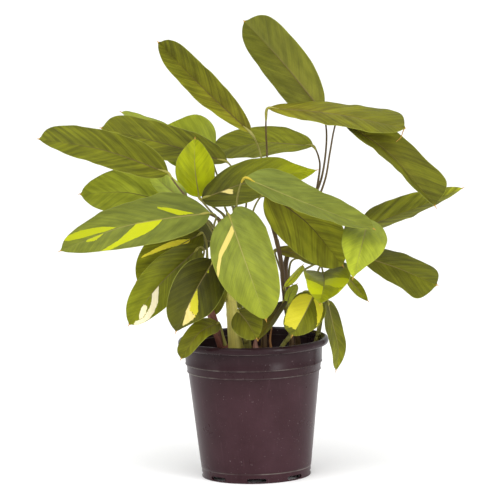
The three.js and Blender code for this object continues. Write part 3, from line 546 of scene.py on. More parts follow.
class Gatherer:
    def __init__(self, name):
        self.name = name
        self.points, self.faces, self.finishes, self.maps = [], [], [], []
        self.count = 0

    def add(self, points, faces, finish, maps=None):
        points = np.asarray(points, float).reshape(-1, 3)
        self.points.append(points)
        self.faces += [tuple(i + self.count for i in face) for face in faces]
        self.finishes += [finish] * len(faces)
        self.maps.append((len(points), maps or {}))
        self.count += len(points)

    def make(self, node):
        mesh = bpy.data.meshes.new(self.name)
        mesh.from_pydata(np.concatenate(self.points) * MM, [], self.faces)
        materials = list(dict.fromkeys(self.finishes))
        for material in materials:
            mesh.materials.append(material)
        mesh.polygons.foreach_set("material_index", [materials.index(f) for f in self.finishes])
        mesh.polygons.foreach_set("use_smooth", [True] * len(self.faces))
        corners = np.empty(len(mesh.loops), int)
        mesh.loops.foreach_get("vertex_index", corners)
        for name in sorted({key for _, maps in self.maps for key in maps}):
            values = [np.reshape(maps[name], (-1, 2)) if name in maps else np.zeros((count, 2))
                      for count, maps in self.maps]
            layer = mesh.uv_layers.new(name=name)
            layer.uv.foreach_set("vector", np.concatenate(values)[corners].astype(np.float32).ravel())
        mesh.validate()
        piece = bpy.data.objects.new(self.name, mesh)
        bpy.context.scene.collection.objects.link(piece)
        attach(piece, "root")
        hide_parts(node)
        return piece


def pair(first, second):
    """Two arrays as the pairs that a map holds."""
    return np.stack(np.broadcast_arrays(first, second), axis=-1)


def grid_faces(rows, columns, start=0, flip=False, wrap=False):
    """Quads over a grid of points, wrapped round when the last column meets the first."""
    faces = []
    for i in range(rows - 1):
        for j in range(columns if wrap else columns - 1):
            k = (j + 1) % columns
            quad = (i * columns + j, i * columns + k, (i + 1) * columns + k, (i + 1) * columns + j)
            faces.append(tuple(start + q for q in (quad[::-1] if flip else quad)))
    return faces


def stem_map(angle, along):
    """The map of a stem: the way round it, and the distance along it in metres."""
    return pair(np.sin(angle) + 3 * np.cos(angle), along * MM)


def tube(gatherer, route, radius, finish, sides, steps, ribs=(0, 0), shares=(0, 1)):
    """A closed tube along a route; radius is a function of the share, ribs their depth and count."""
    depth, count = ribs
    share = np.linspace(*shares, steps + 1)
    centre = route.at(share)
    tangent = route.tangent(share)
    across = np.cross(tangent[0], (0, 0, 1) if abs(tangent[0][2]) < 0.9 else (1, 0, 0))
    angle = np.linspace(0, 2 * math.pi, sides, endpoint=False)
    rings = []
    for i in range(steps + 1):
        across = across - tangent[i] * across.dot(tangent[i])
        across = across / np.linalg.norm(across)
        other = np.cross(tangent[i], across)
        size = radius(share[i]) * (1 + depth * np.sin(count * angle))
        rings.append(centre[i] + size[:, None] * (
            np.cos(angle)[:, None] * across + np.sin(angle)[:, None] * other))
    faces = grid_faces(steps + 1, sides, wrap=True)
    faces += [tuple(range(sides))[::-1], tuple(steps * sides + k for k in range(sides))]
    gatherer.add(rings, faces, finish, {"vein": stem_map(angle, share[:, None] * route.length)})


print("gathering turns", 1 / MM, "millimetres into one metre")

# %% [markdown]
# The canes rise from the soil. What looks like one stout stem is a stack of sheaths, each the
# clasping foot of a leaf, so a cane gets a slanting lip where a sheath ends, slight ribs down
# its length, and a swelling at each joint. The root end stands in the soil.
# A path is given as pixels of the picture with a depth, and the radius in millimetres, at the
# foot of the cane and at its top.

# %% Canes
SOIL_LEVEL = 135
ROOT_DEPTH = 28
ROOT_LEAN = 0.88
GAP = 0.3
CANES = {
    "stout": dict(
        path=[(236, 349, -8), (231, 300, -6), (226, 255, -2), (220, 219, 0)],
        radius=(8.6, 3.2), skin="pale clasping sheath",
    ),
    "middle": dict(
        path=[(292, 346, 10), (285, 300, 10), (281, 262, 8), (273, 228, 8), (265, 206, 10)],
        radius=(3, 2.2), skin="brown stem",
    ),
    "right_back": dict(
        path=[(298, 345, 26), (290, 300, 25), (286, 262, 27), (300, 228, 30), (315, 199, 30)],
        radius=(3, 2.2), skin="brown stem",
    ),
    "right": dict(
        path=[(315, 346, -5), (319, 330, -9), (322, 306, -9), (322, 290, -6)],
        radius=(2.8, 2), skin="olive stem",
    ),
    "red": dict(
        path=[(223, 348, -28), (216, 328, -31), (210, 310, -33), (206, 288, -31), (205, 262, -26)],
        radius=(7.2, 2.6), skin="red-brown sheath",
    ),
    "short": dict(
        path=[(247, 349, -16), (246, 335, -20), (245, 322, -30), (243, 314, -44)],
        radius=(4.2, 2), skin="olive stem",
    ),
    "brown": dict(
        path=[(264, 350, -6), (263, 325, -6), (260, 300, -8), (253, 268, -10), (246, 238, -12)],
        radius=(3.8, 2.2), skin="brown stem",
    ),
    "leaning": dict(
        path=[(281, 349, -14), (290, 336, -16), (299, 322, -20), (306, 306, -24)],
        radius=(2.8, 1.9), skin="olive stem",
    ),
    "back": dict(
        path=[(248, 344, 46), (244, 292, 50), (240, 245, 50), (234, 208, 48)],
        radius=(3.6, 2.4), skin="olive stem",
    ),
}


def cane_route(path):
    points = [at(place) for place in path]
    root = np.array([points[0][0] * ROOT_LEAN, points[0][1] * ROOT_LEAN, SOIL_LEVEL - ROOT_DEPTH])
    return Route([root, (root + points[0]) / 2, *points])


routes = {name: cane_route(cane["path"]) for name, cane in CANES.items()}
print("the stout cane is", round(routes["stout"].length), "mm long with its root")

# %% Sheaths round the canes
SHEATH_SIDES = 24
SHEATH_STEPS = 10
SHEATH_WALL = 0.3
SHEATH_FLARE = 0.35
LIP_SLANT = 0.38
RIB_DEPTH = 0.025
JOINTS = (0.22, 0.42, 0.6, 0.78)
JOINT_SWELLING, JOINT_LENGTH = 0.07, 0.012
STOUT_BELLY = 0.12
SHEATHS = ((0.12, 0.36), (0.3, 0.56), (0.5, 0.8))


def cane_radius(name, share):
    low, high = CANES[name]["radius"]
    return low + (high - low) * share


def sheath(gatherer, name, start, end, facing, finish):
    """A thin clasping sheath whose lip slants down on the far side of facing."""
    route, sides, steps = routes[name], SHEATH_SIDES, SHEATH_STEPS
    angle = np.linspace(0, 2 * math.pi, sides, endpoint=False)
    lip = start + (end - start) * (1 - LIP_SLANT + LIP_SLANT * np.cos(angle - facing))
    share = start + (lip - start)[None, :] * np.linspace(0, 1, steps + 1)[:, None]
    centre = route.at(share.ravel()).reshape(steps + 1, sides, 3)
    tangent = route.tangent(share.ravel()).reshape(steps + 1, sides, 3)
    base = np.array([1.0, 0, 0]) - tangent * tangent[..., :1]
    base /= np.linalg.norm(base, axis=2)[..., None]
    other = np.cross(tangent, base)
    flare = SHEATH_FLARE * (0.3 + 0.7 * np.linspace(0, 1, steps + 1) ** 2)[:, None]
    size = cane_radius(name, share) * 1.02 + flare
    out = np.cos(angle)[None, :, None] * base + np.sin(angle)[None, :, None] * other
    outer = centre + out * size[..., None]
    inner = centre[::-1] + out[::-1] * (size[::-1] - SHEATH_WALL)[..., None]
    faces = grid_faces(2 * steps + 2, sides, wrap=True)
    last = (2 * steps + 1) * sides
    faces += [(last + k, last + (k + 1) % sides, (k + 1) % sides, k) for k in range(sides)]
    stem = stem_map(angle, np.concatenate([share, share[::-1]]) * route.length)
    gatherer.add(np.concatenate([outer, inner]), faces, finish, {"vein": stem})


def make_cane(name, seed):
    skin = stem_skins[CANES[name]["skin"]]
    rng = random.Random(seed)
    ribs = rng.randint(9, 13)

    def size(share):
        near = sum(math.exp(-(((share - joint) / JOINT_LENGTH) ** 2)) for joint in JOINTS)
        swell = JOINT_SWELLING * near
        belly = STOUT_BELLY * math.sin(math.pi * min(1, share / 0.5)) if name == "stout" else 0
        return cane_radius(name, share) * (1 + swell + belly)

    gatherer = Gatherer(f"{name}_cane")
    tube(gatherer, routes[name], size, skin, sides=32, steps=90, ribs=(RIB_DEPTH, ribs))
    for start, end in SHEATHS:
        sheath(gatherer, name, start, end, rng.uniform(0, 6.3), skin)
    return gatherer.make(f"cane_{name}")


canes = [make_cane(name, seed) for seed, name in enumerate(CANES)]
print("canes:", len(canes))

# %% [markdown]
# Two short shoots stand at the soil: a closed red bud, and the dry papery sheath of a leaf
# that has gone. Both are tubes that keep their width half way up and then draw in to a point,
# so they have three radii: at the foot, above the middle and at the tip.

# %% Shoots at the soil
SHOOTS = {
    "bud": dict(
        path=[(256, 350, -30), (255.5, 344, -30), (256, 337, -31)],
        radius=(4.6, 4.2, 0.6), skin="closed bud", slot="red_sheath",
    ),
    "dry_sheath": dict(
        path=[(271, 349, -22), (270, 340, -22), (272, 326, -23)],
        radius=(2.6, 1.5, 0.6), skin="dry papery sheath", slot="dry_sheath",
    ),
}


def make_shoot(name, shoot):
    low, middle, high = shoot["radius"]
    drawn_in = (middle + high) / 2
    profile = smooth_table([(0, low), (0.35, low), (0.62, middle), (0.85, drawn_in), (1, high)])
    gatherer = Gatherer(f"{name}_shoot")
    skin = stem_skins[shoot["skin"]]
    tube(gatherer, cane_route(shoot["path"]), profile, skin, sides=20, steps=40, ribs=(0.05, 5))
    return gatherer.make(name)


shoots = [make_shoot(name, shoot) for name, shoot in SHOOTS.items()]
print("shoots:", len(shoots))

# %% [markdown]
# The blades. Each has a midrib through three or four points, a roll about it, a fold along it
# and a curl towards its margins. One side of every blade is blunter than the other, as in the
# whole family, and the end draws in to a short drip tip. The blade here repeats the measures of
# the model's own leaf and adds what a picture needs: a round outline, a groove over the midrib
# and a ridge under it, soft pleats along the side veins and a gentle wave of the margin.

# %% The outlines of the blades
BLUNT = smooth_table([
    (0, 0.05), (0.018, 0.24), (0.05, 0.47), (0.13, 0.75), (0.27, 0.95), (0.45, 1), (0.63, 0.99),
    (0.79, 0.95), (0.88, 0.85), (0.94, 0.64), (0.972, 0.36), (0.986, 0.13), (1, 0.02),
])
LEAN = smooth_table([
    (0, 0.05), (0.018, 0.2), (0.05, 0.42), (0.13, 0.68), (0.27, 0.9), (0.45, 0.98), (0.63, 0.92),
    (0.79, 0.76), (0.88, 0.58), (0.94, 0.36), (0.972, 0.19), (0.986, 0.08), (1, 0.02),
])
NARROW_BASE = smooth_table([
    (0, 0.4), (0.05, 0.5), (0.13, 0.6), (0.27, 0.78), (0.4, 0.95), (0.5, 1), (1, 1),
])
NARROW_TIP = smooth_table([
    (0, 1), (0.5, 1), (0.63, 0.93), (0.73, 0.77), (0.83, 0.53), (0.9, 0.38), (0.95, 0.28), (1, 0.25),
])
LOBE = smooth_table([(0, 0), (0.05, 1), (0.13, 0.8), (0.27, 0.4), (0.45, 0.1), (0.63, 0), (1, 0)])
halves = [round(float(side(0.9)), 2) for side in (BLUNT, LEAN)]
print("near the tip the blunt side and the lean one are", *halves, "of the half width")

# %% [markdown]
# Each leaf is one row. rib is its midrib, from base to tip, as pixels of the picture and a
# depth, and half is its half width in millimetres. roll turns it about the midrib, at base and
# tip, and fold and curl bend its sides up, all in degrees. blunt is 1 where the blunter side is
# on the right. full, base, tip and lobe are pairs, for the blunt side and the lean one: how
# wide it is, how far it draws in at the base and at the tip, and how far it reaches back beside
# the petiole. slip above 1 crowds the base, and oval rounds the outline. foot is the cane that
# it grows from, how far up and in which direction, and via is what its petiole passes.

# %% The leaves in the picture
USUAL = dict(roll=(0, 0), curl=1, blunt=1, full=(1, 1), base=(0, 0), tip=(0, 0), lobe=(0, 0),
             slip=1, oval=0, via=[])
LEAVES = {
    "upper_left": dict(
        rib=[(251, 133, 34), (207, 92, 52), (158, 42, 66)],
        half=22, roll=(8, 0), fold=30, curl=8, full=(1, 0.88), base=(0.5, 0.6), tip=(0, -0.3),
        foot=("middle", 0.98, 60), via=[(264, 184, 30), (260, 152, 46)],
    ),
    "top": dict(
        rib=[(322, 111, 56), (279, 58, 64), (244, 21, 52)],
        half=28, roll=(160, 165), fold=14, curl=-6, blunt=-1,
        full=(0.97, 1.04), base=(0.45, -0.6), tip=(-0.1, 0),
        foot=("right_back", 0.98, -120), via=[(322, 176, 30), (326.5, 132, 46)],
    ),
    "top_right": dict(
        rib=[(268, 108, 18), (335, 114, 4), (405.5, 128.5, -10)],
        half=29.5, roll=(-61, -58), fold=4, curl=-10, blunt=-1,
        full=(0.9, 0.85), base=(0.6, 0.5), tip=(-0.8, -0.5),
        foot=("middle", 0.93, -20), via=[(268, 182, 32), (267, 154, 47), (266, 120, 26)],
    ),
    "hanging_right": dict(
        rib=[(345, 123, 8), (388, 153, 0), (435, 206, -18)],
        half=27, roll=(-50, -54), fold=24, curl=6, blunt=-1, full=(1.03, 1.4), tip=(-0.6, -0.1),
        foot=("right_back", 0.88, 0),
        via=[(325, 180, 23), (330, 152, 20), (335, 126, 16), (339, 117, 12)],
    ),
    "far_right": dict(
        rib=[(362, 228, 46), (416, 208, 30), (463, 188, 10)],
        half=27, roll=(-58, -62), fold=12, curl=4, slip=1.3, base=(-0.5, -0.5), tip=(0.5, 0.4),
        foot=("right_back", 0.7, -20), via=[(312, 238, 36), (342, 238, 46)],
    ),
    "centre_right": dict(
        rib=[(245, 178, -50), (303, 202, -74), (374, 229, -98)],
        half=28, roll=(-55, -58), fold=8, curl=2, blunt=-1, base=(-1.3, -0.1), tip=(0.45, 0),
        foot=("brown", 0.98, 180), via=[(239, 224, -24), (237, 200, -40)],
    ),
    "centre": dict(
        rib=[(202, 199, 0), (252, 181, 12), (317, 170, 8)],
        half=30, roll=(-48, -50), fold=6, curl=-4, blunt=-1,
        full=(1.15, 1.18), base=(0.5, -0.4), tip=(1.15, 0.6), lobe=(0, 3),
        foot=("stout", 0.98, 20), via=[(212, 206, 6)],
    ),
    "facing_right": dict(
        rib=[(368, 219, -42), (362, 245, -92), (353, 278, -126)],
        half=26, fold=10, full=(0.92, 1.05), base=(0, 0.4), tip=(0.9, 1),
        foot=("right_back", 0.8, -90), via=[(318, 228, 10), (342, 222, -12), (359, 219, -30)],
    ),
    "behind_centre": dict(
        rib=[(266, 193, -24), (306, 222, -28), (343, 266, -52)],
        half=33, roll=(5, 5), fold=8, base=(0.15, 0), tip=(0.5, 0),
        foot=("brown", 0.9, 90), via=[(255, 206, -16)],
    ),
    "small_shaded": dict(
        rib=[(275, 250, 16), (298, 254, 20), (322, 263, 22)],
        half=9, roll=(-40, -40), fold=10,
        foot=("middle", 0.55, 90),
    ),
    "low_right": dict(
        rib=[(362, 256, 30), (400, 269, 25), (437, 285, 15)],
        half=26, roll=(-42, -42), fold=-8, curl=-4, blunt=-1,
        full=(1.1, 0.85), base=(0, 0.5), tip=(-0.1, -1.8),
        foot=("right_back", 0.5, 0), via=[(315, 264, 34), (342, 252, 34)],
    ),
    "narrow_right": dict(
        rib=[(347, 276, 10), (357, 288, 8), (368, 301, 2)],
        half=6.5, fold=14, tip=(0.8, 0.5),
        foot=("right", 0.9, 60), via=[(336, 273, 4)],
    ),
    "bowl": dict(
        rib=[(323, 273, -18), (324, 284, -62), (320, 304, -105)],
        half=28, fold=24, curl=10, full=(0.97, 1.2), tip=(0.3, 0.5),
        foot=("right", 0.98, -90), via=[(318, 272, -6), (321, 266, -10)],
    ),
    "half_yellow": dict(
        rib=[(314, 294, -42), (305, 313, -70), (292, 336, -88)],
        half=23, fold=8, curl=-8, full=(0.85, 0.95), tip=(0.1, 0.3),
        foot=("leaning", 0.98, 0), via=[(312, 298, -32)],
    ),
    "outside_right": dict(
        rib=[(327.5, 300, -14), (333, 325, -10), (338.5, 350, -13), (336, 370.5, -20)],
        half=16, roll=(-52, -52), fold=8, full=(1.15, 0.9), tip=(0.5, 0.5),
        foot=("right", 0.82, -30),
    ),
    "front": dict(
        rib=[(229, 215, -50), (243, 255, -104), (266, 320, -147)],
        half=38, roll=(-4, 4), fold=2, curl=-10,
        full=(0.92, 0.9), base=(0.2, -0.5), tip=(0.85, -0.1), lobe=(0, 16),
        foot=("stout", 0.8, -90), via=[(226, 226, -30), (227, 213, -42)],
    ),
    "left_front": dict(
        rib=[(210, 213, -34), (163, 219, -60), (119, 228, -76), (60, 251, -84)],
        half=29, roll=(33, 30), fold=-8, curl=-10,
        full=(1.2, 0.95), base=(-1.1, 0), tip=(0.5, 0.45),
        foot=("stout", 0.88, 180), via=[(214, 226, -16), (216, 216, -26)],
    ),
    "left": dict(
        rib=[(168, 173, -5), (103, 150, -20), (38.5, 139, -26)],
        half=27, roll=(42, 42), fold=6, base=(-0.35, 0), tip=(0.1, 0.35),
        foot=("stout", 0.97, -100), via=[(206, 212, -6), (186, 196, -6), (173, 180, -5)],
    ),
    "left_behind": dict(
        rib=[(227, 162, 54), (165, 144, 58), (101, 128, 60)],
        half=28, roll=(45, 42), fold=6, base=(0, 0.7),
        foot=("back", 0.98, -60), via=[(236, 185, 50), (232, 168, 54)],
    ),
    "pale_sliver": dict(
        rib=[(208, 150, 112), (168, 130, 114), (121, 112, 112)],
        half=23, roll=(66, 68), fold=4, full=(0.55, 1),
        foot=("back", 0.95, 90), via=[(226, 196, 72), (216, 172, 98)],
    ),
    "pale_round": dict(
        rib=[(208, 160, 132), (186, 142, 144), (163, 127, 146)],
        half=33, roll=(12, 12), fold=6, full=(1.1, 1), base=(0.35, 0), tip=(1, 0),
        foot=("back", 0.85, 150), via=[(224, 205, 72), (216, 182, 106)],
    ),
    "upper_middle": dict(
        rib=[(313, 146, 62), (262, 143, 84), (212, 152, 88)],
        half=28, roll=(52, 54), fold=6, full=(1, 1.15), base=(0.5, 0.9),
        foot=("right_back", 0.98, 100), via=[(318, 182, 40), (319.5, 161, 56)],
    ),
    "young": dict(
        rib=[(199, 197, 32), (195, 168, 26), (195, 138, 28)],
        half=22, fold=8, curl=6, oval=0.7, full=(1.02, 1.05), tip=(0.5, 0.3),
        foot=("stout", 0.93, 90), via=[(207, 207, 26)],
    ),
    "left_low": dict(
        rib=[(188, 210, 26), (130, 193, 16), (80, 194, 8)],
        half=30, roll=(20, 20), fold=4, curl=-6, tip=(0.65, 0),
        foot=("stout", 0.83, 120), via=[(205, 218, 22)],
    ),
    "glossy": dict(
        rib=[(186, 203, 8), (168, 188, 6), (150, 172, 10)],
        half=13, roll=(20, 20), fold=8,
        foot=("stout", 0.8, 170), via=[(203, 217, 4)],
    ),
    "shaded_left": dict(
        rib=[(202, 233, -6), (166, 254, -14), (137, 281, -20)],
        half=26, roll=(10, 10), fold=8, blunt=-1, tip=(0, 0.2),
        foot=("red", 0.98, 60), via=[(206, 241, -12)],
    ),
    "low_left": dict(
        rib=[(200, 247, -32), (160, 284, -54), (129, 325, -66)],
        half=24, fold=8, blunt=-1, tip=(0.6, -0.1),
        foot=("red", 0.93, 180), via=[(204, 250, -30)],
    ),
    "low_left_striped": dict(
        rib=[(214, 260, -48), (196, 290, -76), (176, 332, -92)],
        half=28, fold=6, curl=-6, blunt=-1, full=(1.03, 1), tip=(1.1, 0),
        foot=("red", 0.88, -60), via=[(212, 258, -40)],
    ),
    "at_rim": dict(
        rib=[(219, 323, -44), (199, 333, -72), (181, 359, -78)],
        half=13, roll=(30, 30), fold=10,
        foot=("red", 0.33, -60),
    ),
    "small_front": dict(
        rib=[(238, 311, -66), (247, 322, -82), (257, 339, -92)],
        half=17.8, fold=6, oval=0.4, tip=(0.3, 0.2),
        foot=("short", 0.98, -90), via=[(240, 309, -58)],
    ),
    "folded": dict(
        rib=[(284, 301, -14), (272, 320, -44), (259, 339, -54)],
        half=13, roll=(50, 55), fold=14,
        foot=("middle", 0.3, -90),
    ),
    "green_blade": dict(
        rib=[(284.5, 287, -6), (293.5, 277, -10), (303, 265, -12)],
        half=8, roll=(60, 60), fold=6,
        foot=("middle", 0.38, -50),
    ),
    "pale_bud_leaf": dict(
        rib=[(287, 304, 0), (290, 294, -2), (297, 284, 0)],
        half=7, roll=(30, 30), fold=10, oval=0.6,
        foot=("middle", 0.27, -20),
    ),
    "dark_inner": dict(
        rib=[(221, 273, -20), (218, 296, -22), (213, 316, -22)],
        half=10, fold=8,
        foot=("stout", 0.5, -150),
    ),
}
print("leaves in the picture:", len(LEAVES))

# %% [markdown]
# The picture doesn't show the far side. A plant like this one grows evenly towards the light
# all round, so eight plain leaves fill the back, lower ones wider apart.

# %% The leaves on the far side
LEAVES |= {
    "back_up": dict(
        rib=[(247, 196, 66), (250, 185, 104), (250, 177, 140)],
        half=28, fold=10,
        foot=("back", 0.9, 30), via=[(245, 211, 58)],
    ),
    "back_right": dict(
        rib=[(293, 230, 58), (304, 214, 98), (312, 204, 136)],
        half=26, fold=10, blunt=-1,
        foot=("right_back", 0.65, 90), via=[(290, 240, 48)],
    ),
    "back_down": dict(
        rib=[(247, 236, 62), (244, 252, 106), (241, 284, 134)],
        half=26, roll=(150, 150), fold=10,
        foot=("back", 0.75, 60), via=[(245, 238, 58)],
    ),
    "back_left": dict(
        rib=[(214, 242, 58), (188, 238, 94), (164, 241, 122)],
        half=26, roll=(20, 20), fold=10,
        foot=("back", 0.7, 150), via=[(226, 246, 54)],
    ),
    "back_low_right": dict(
        rib=[(298, 258, 54), (322, 250, 90), (344, 246, 122)],
        half=22, roll=(-20, -20), fold=10, blunt=-1,
        foot=("right_back", 0.5, 60), via=[(291, 262, 42)],
    ),
    "back_low_left": dict(
        rib=[(222, 284, 62), (200, 290, 96), (180, 306, 122)],
        half=24, roll=(20, 20), fold=8,
        foot=("back", 0.5, 170), via=[(231, 283, 56)],
    ),
    "back_low": dict(
        rib=[(250, 284, 66), (252, 294, 100), (250, 314, 124)],
        half=23, fold=12, blunt=-1,
        foot=("back", 0.45, 60), via=[(249, 286, 60)],
    ),
    "back_low_far_right": dict(
        rib=[(297, 303, 44), (306, 306, 74), (317, 318, 98)],
        half=18, roll=(-10, -10), fold=10,
        foot=("right_back", 0.25, 60),
    ),
}
print("leaves:", len(LEAVES))

# %% [markdown]
# How each leaf looks. light and lime are given at its base and its tip. light makes the leaf
# lighter or darker: partly its own tone, partly painted light and painted shade, set for how
# much light each part gets. lime is the fresh yellow-green of young tissue. rib goes from a
# brown midrib at 0 to a pale one at 1, cast from a greyish green bloom, partly a painted sheen,
# at -1 to a red-brown tinge at 1, and contrast is how strongly the herringbone shows.
# mosaic_painted_light over 1 is how much brighter its mosaic is painted, as painted light, and
# pleat is how deep the furrows are along the side veins, in millimetres. stalk and joint name
# the finish of its petiole and pulvinus, and tail is the way the drip tip hangs on, as places
# in the picture.

# %% Leaf looks
PLAIN = dict(light=(0, 0), lime=(0, 0.1), rib=0.3, cast=0.1, contrast=0.6, pleat=0.16,
             mosaic_painted_light=1, stalk="olive", joint="olive", tail=[])
# light below is partly painted light and painted shade, set leaf by leaf from base to tip.
LOOKS = {
    "upper_left": dict(light=(0.55, -0.25), cast=0.45, rib=0.1, contrast=0.7, joint="pale"),
    "top": dict(light=(0.15, -0.25), lime=(0.1, 0.25), cast=0.45, rib=0.2, contrast=0.9, stalk="brown"),
    "top_right": dict(light=(0.85, 0.02), cast=0.5, contrast=0.5, pleat=0.35, stalk="brown",
                      tail=[(402.5, 133, -10), (401, 137, -12), (396, 142, -14)]),
    "hanging_right": dict(light=(0.5, -0.38), cast=0.4, rib=0.1, contrast=0.7, pleat=0.3, stalk="brown",
                          tail=[(435.8, 207.3, -18), (437, 209.5, -18)]),
    "far_right": dict(light=(0.12, 1.25), pleat=0.35),
    "centre_right": dict(light=(-0.05, 0.1), cast=-0.6, rib=0.8, contrast=0.4, joint="yellow"),
    "centre": dict(mosaic_painted_light=1.1, light=(-0.53, 0.08), lime=(-0.2, 1)),
    "facing_right": dict(light=(0.2, 0.5), lime=(0.2, 0.8), cast=-0.5, rib=0.6, contrast=0.4),
    "behind_centre": dict(light=(0.9, 0.68), cast=0.3, rib=0, contrast=0.7),
    "small_shaded": dict(light=(1.7, -0.6), cast=0.7),
    "low_right": dict(light=(-0.18, -0.05), cast=0.15, contrast=0.4),
    "narrow_right": dict(light=(0.3, 0.3), lime=(0.2, 0.2), contrast=0.3),
    "bowl": dict(mosaic_painted_light=1.25, light=(0.7, 0.2), lime=(0.1, 0.6), contrast=0.4),
    "half_yellow": dict(mosaic_painted_light=1.12, light=(0.15, 0.05), rib=0.6, contrast=0.3),
    "outside_right": dict(light=(-0.3, 0.42), rib=0.5, contrast=0.3),
    "front": dict(mosaic_painted_light=1.05, light=(0.08, -0.14), lime=(0.1, 0.9), cast=-0.55, rib=0.8),
    "left_front": dict(light=(-0.27, -0.1), lime=(0.05, 0.3), cast=-0.55, rib=0.6),
    "left": dict(light=(-0.15, -0.15), lime=(0.1, 0.1), rib=0.1, contrast=0.7, stalk="brown"),
    "left_behind": dict(light=(-0.2, 0.15), rib=0),
    "pale_sliver": dict(light=(0.2, 0.2), lime=(0.6, 0.6), cast=-0.5, rib=0.6, contrast=0.2),
    "pale_round": dict(light=(0.33, 0.25), lime=(0.6, 0.6), cast=-0.4, rib=0.6, contrast=0.2),
    "upper_middle": dict(light=(0.4, 0.08), lime=(0.1, 0.1), cast=0, contrast=0.5, stalk="brown"),
    "young": dict(light=(0.2, -0.12), lime=(1, 1), cast=0, rib=0.5, contrast=0.1),
    "left_low": dict(light=(3, 0.35), lime=(0.1, 0.2), cast=-0.3, contrast=0.5),
    "glossy": dict(light=(-0.35, 2.3), cast=-0.7, rib=0.5, contrast=0.5),
    "shaded_left": dict(mosaic_painted_light=1.9, light=(-0.25, 1.1), lime=(0, 0.2), cast=0.2, contrast=0.5),
    "low_left": dict(mosaic_painted_light=1.12, light=(0.05, -0.38), lime=(-0.1, 0.9), cast=0.15, contrast=0.5),
    "low_left_striped": dict(light=(-0.65, -0.42), lime=(0, 0.15), cast=0.3, contrast=0.4),
    "at_rim": dict(light=(0.75, 0), cast=0.3, contrast=0.4),
    "small_front": dict(light=(-0.15, 0.25), cast=0.3, contrast=0.4),
    "folded": dict(light=(-0.72, 1.1), cast=0.9, contrast=0.3),
    "green_blade": dict(light=(2.1, 0.7), lime=(0.5, 0.4), contrast=0.2),
    "pale_bud_leaf": dict(light=(1.9, 0.3), lime=(0.4, 0.2), cast=-0.3, contrast=0.2),
    "dark_inner": dict(light=(0, 0.4), cast=0.4, contrast=0.3),
    "back_left": dict(light=(-0.5, -0.1), cast=0.3),
}
print("leaves with looks of their own:", len(LOOKS))

# %% [markdown]
# The mosaic itself: yellow and cream patches, each lying between side veins on one side of the
# midrib, 1 for the right-hand side and -1 for the left. The tone goes from a lime yellow at 0
# past lemon at 0.5 and butter yellow at 0.75 to cream at 1. The edges are given, from the midrib
# outwards, as the distance from it and the first and last vein row that is yellow there, in
# millimetres along the rib.

# %% Mosaic patches
PATCHES = {
    "front": [
        (1, 0.81, [(1, 17, 29), (8, 20, 33), (15, 20.5, 32), (22, 19.5, 28.5), (28, 21, 30),
                   (33, 22, 32), (35, 26, 31)]),
    ],
    "left_front": [
        (1, 0.4, [(2.5, 16, 36), (5, 19, 37), (10, 23, 38), (15, 26, 36), (20, 32, 33)]),
        (1, 0.4, [(2, 110, 126), (5, 112, 147), (9, 115.5, 157), (13, 121, 156), (16, 129, 147)]),
        (-1, 0.5, [(0, 58, 90), (5, 58, 92), (9, 60, 94), (14, 65, 98), (17, 74, 108),
                   (19, 86, 116), (22, 104, 120)]),
        (-1, 0.4, [(0.5, 128, 148), (2, 130, 148), (4, 134, 138)]),
    ],
    "centre": [(1, 0.85, [(1, 22, 32), (5, 20, 30), (10, 17.5, 21.5), (12, 17, 18)])],
    "behind_centre": [(-1, 0.2, [(5, 67.5, 69), (12.5, 65.5, 67.5), (21, 61.5, 63.5)])],
    "bowl": [
        (1, 0.3, [(1, 52, 70), (8, 44, 68), (15, 37, 66), (21, 32, 47), (25, 28, 34)]),
        (-1, 0.35, [(1.5, 32, 46), (15, 21, 41), (25, 12, 30), (30, 6.5, 19)]),
        (-1, 0.4, [(20, 40, 48), (23, 34, 43), (26, 24, 34), (29, 14, 26)]),
    ],
    "half_yellow": [
        (1, 0.62, [(0.5, 4, 58), (8, -4, 50), (14, -6, 42), (17, -3, 30), (18.5, 2, 18)]),
        (-1, 0.62, [(3, -1, 8), (6, -3, 9), (9, -5, 11), (13, -7, 14), (17, -2, 17), (18.5, 8, 20)]),
    ],
    "shaded_left": [
        (1, 0.66, [(0, 14, 30), (3, 17, 35), (6.5, 20, 42), (9.5, 27, 46), (11, 33, 47), (15, 45, 50)]),
        (-1, 0.7, [(0, 14, 30), (2, 15, 24)]),
    ],
    "low_left": [
        (-1, 1, [(0.5, 64, 77), (4, 65, 78), (7, 65.5, 80), (10, 66, 97), (12, 66, 93), (14, 73, 84)]),
        (-1, 1, [(4, 108, 112), (5.5, 103, 111), (7, 99, 108), (9, 92, 101), (10.5, 88, 98)]),
        (-1, 1, [(0.5, 92, 98), (3, 88, 102), (5.3, 86, 102), (7, 90, 98)]),
    ],
    "low_left_striped": [
        (-1, 0.6, [(0.8, 43, 60), (3.4, 44.5, 64), (6.7, 46, 62), (9, 47.5, 60), (12.2, 50, 56)]),
        (-1, 0.85, [(0.8, 61, 72), (3.4, 65, 85), (6.7, 63, 77), (9, 61, 70), (11, 58, 63)]),
        (-1, 0.2, [(0, 13, 18), (1.5, 14, 18)]),
    ],
}
print("patches:", sum(len(patches) for patches in PATCHES.values()))

# %% [markdown]
# A blade is a grid of points: stations along the midrib by columns across it, closer together
# where the outline turns quickly. At each station stands a small frame of three directions,
# along, up and to the right, turned first towards the viewer and then by the leaf's own roll,
# because the roll is read off the picture.

# %% The grid of a blade
STATIONS = 84
CROWDING = 0.55
COLUMNS = 16
COLUMN_CROWDING = 1.4
RIM_COLUMN = 0.975


def unit(vectors):
    return vectors / np.linalg.norm(vectors, axis=-1)[..., None]


def stations():
    """Shares along the blade and across it, closer together at the ends, rib and margin."""
    x = np.linspace(0, 1, STATIONS)
    u = x - CROWDING * np.sin(2 * np.pi * x) / (2 * np.pi)
    steps = [(k / COLUMNS) ** COLUMN_CROWDING for k in range(COLUMNS)] + [RIM_COLUMN, 1]
    return u, np.array([-step for step in steps[:0:-1]] + steps)


def from_to(ends, share):
    return ends[0] + (ends[1] - ends[0]) * share


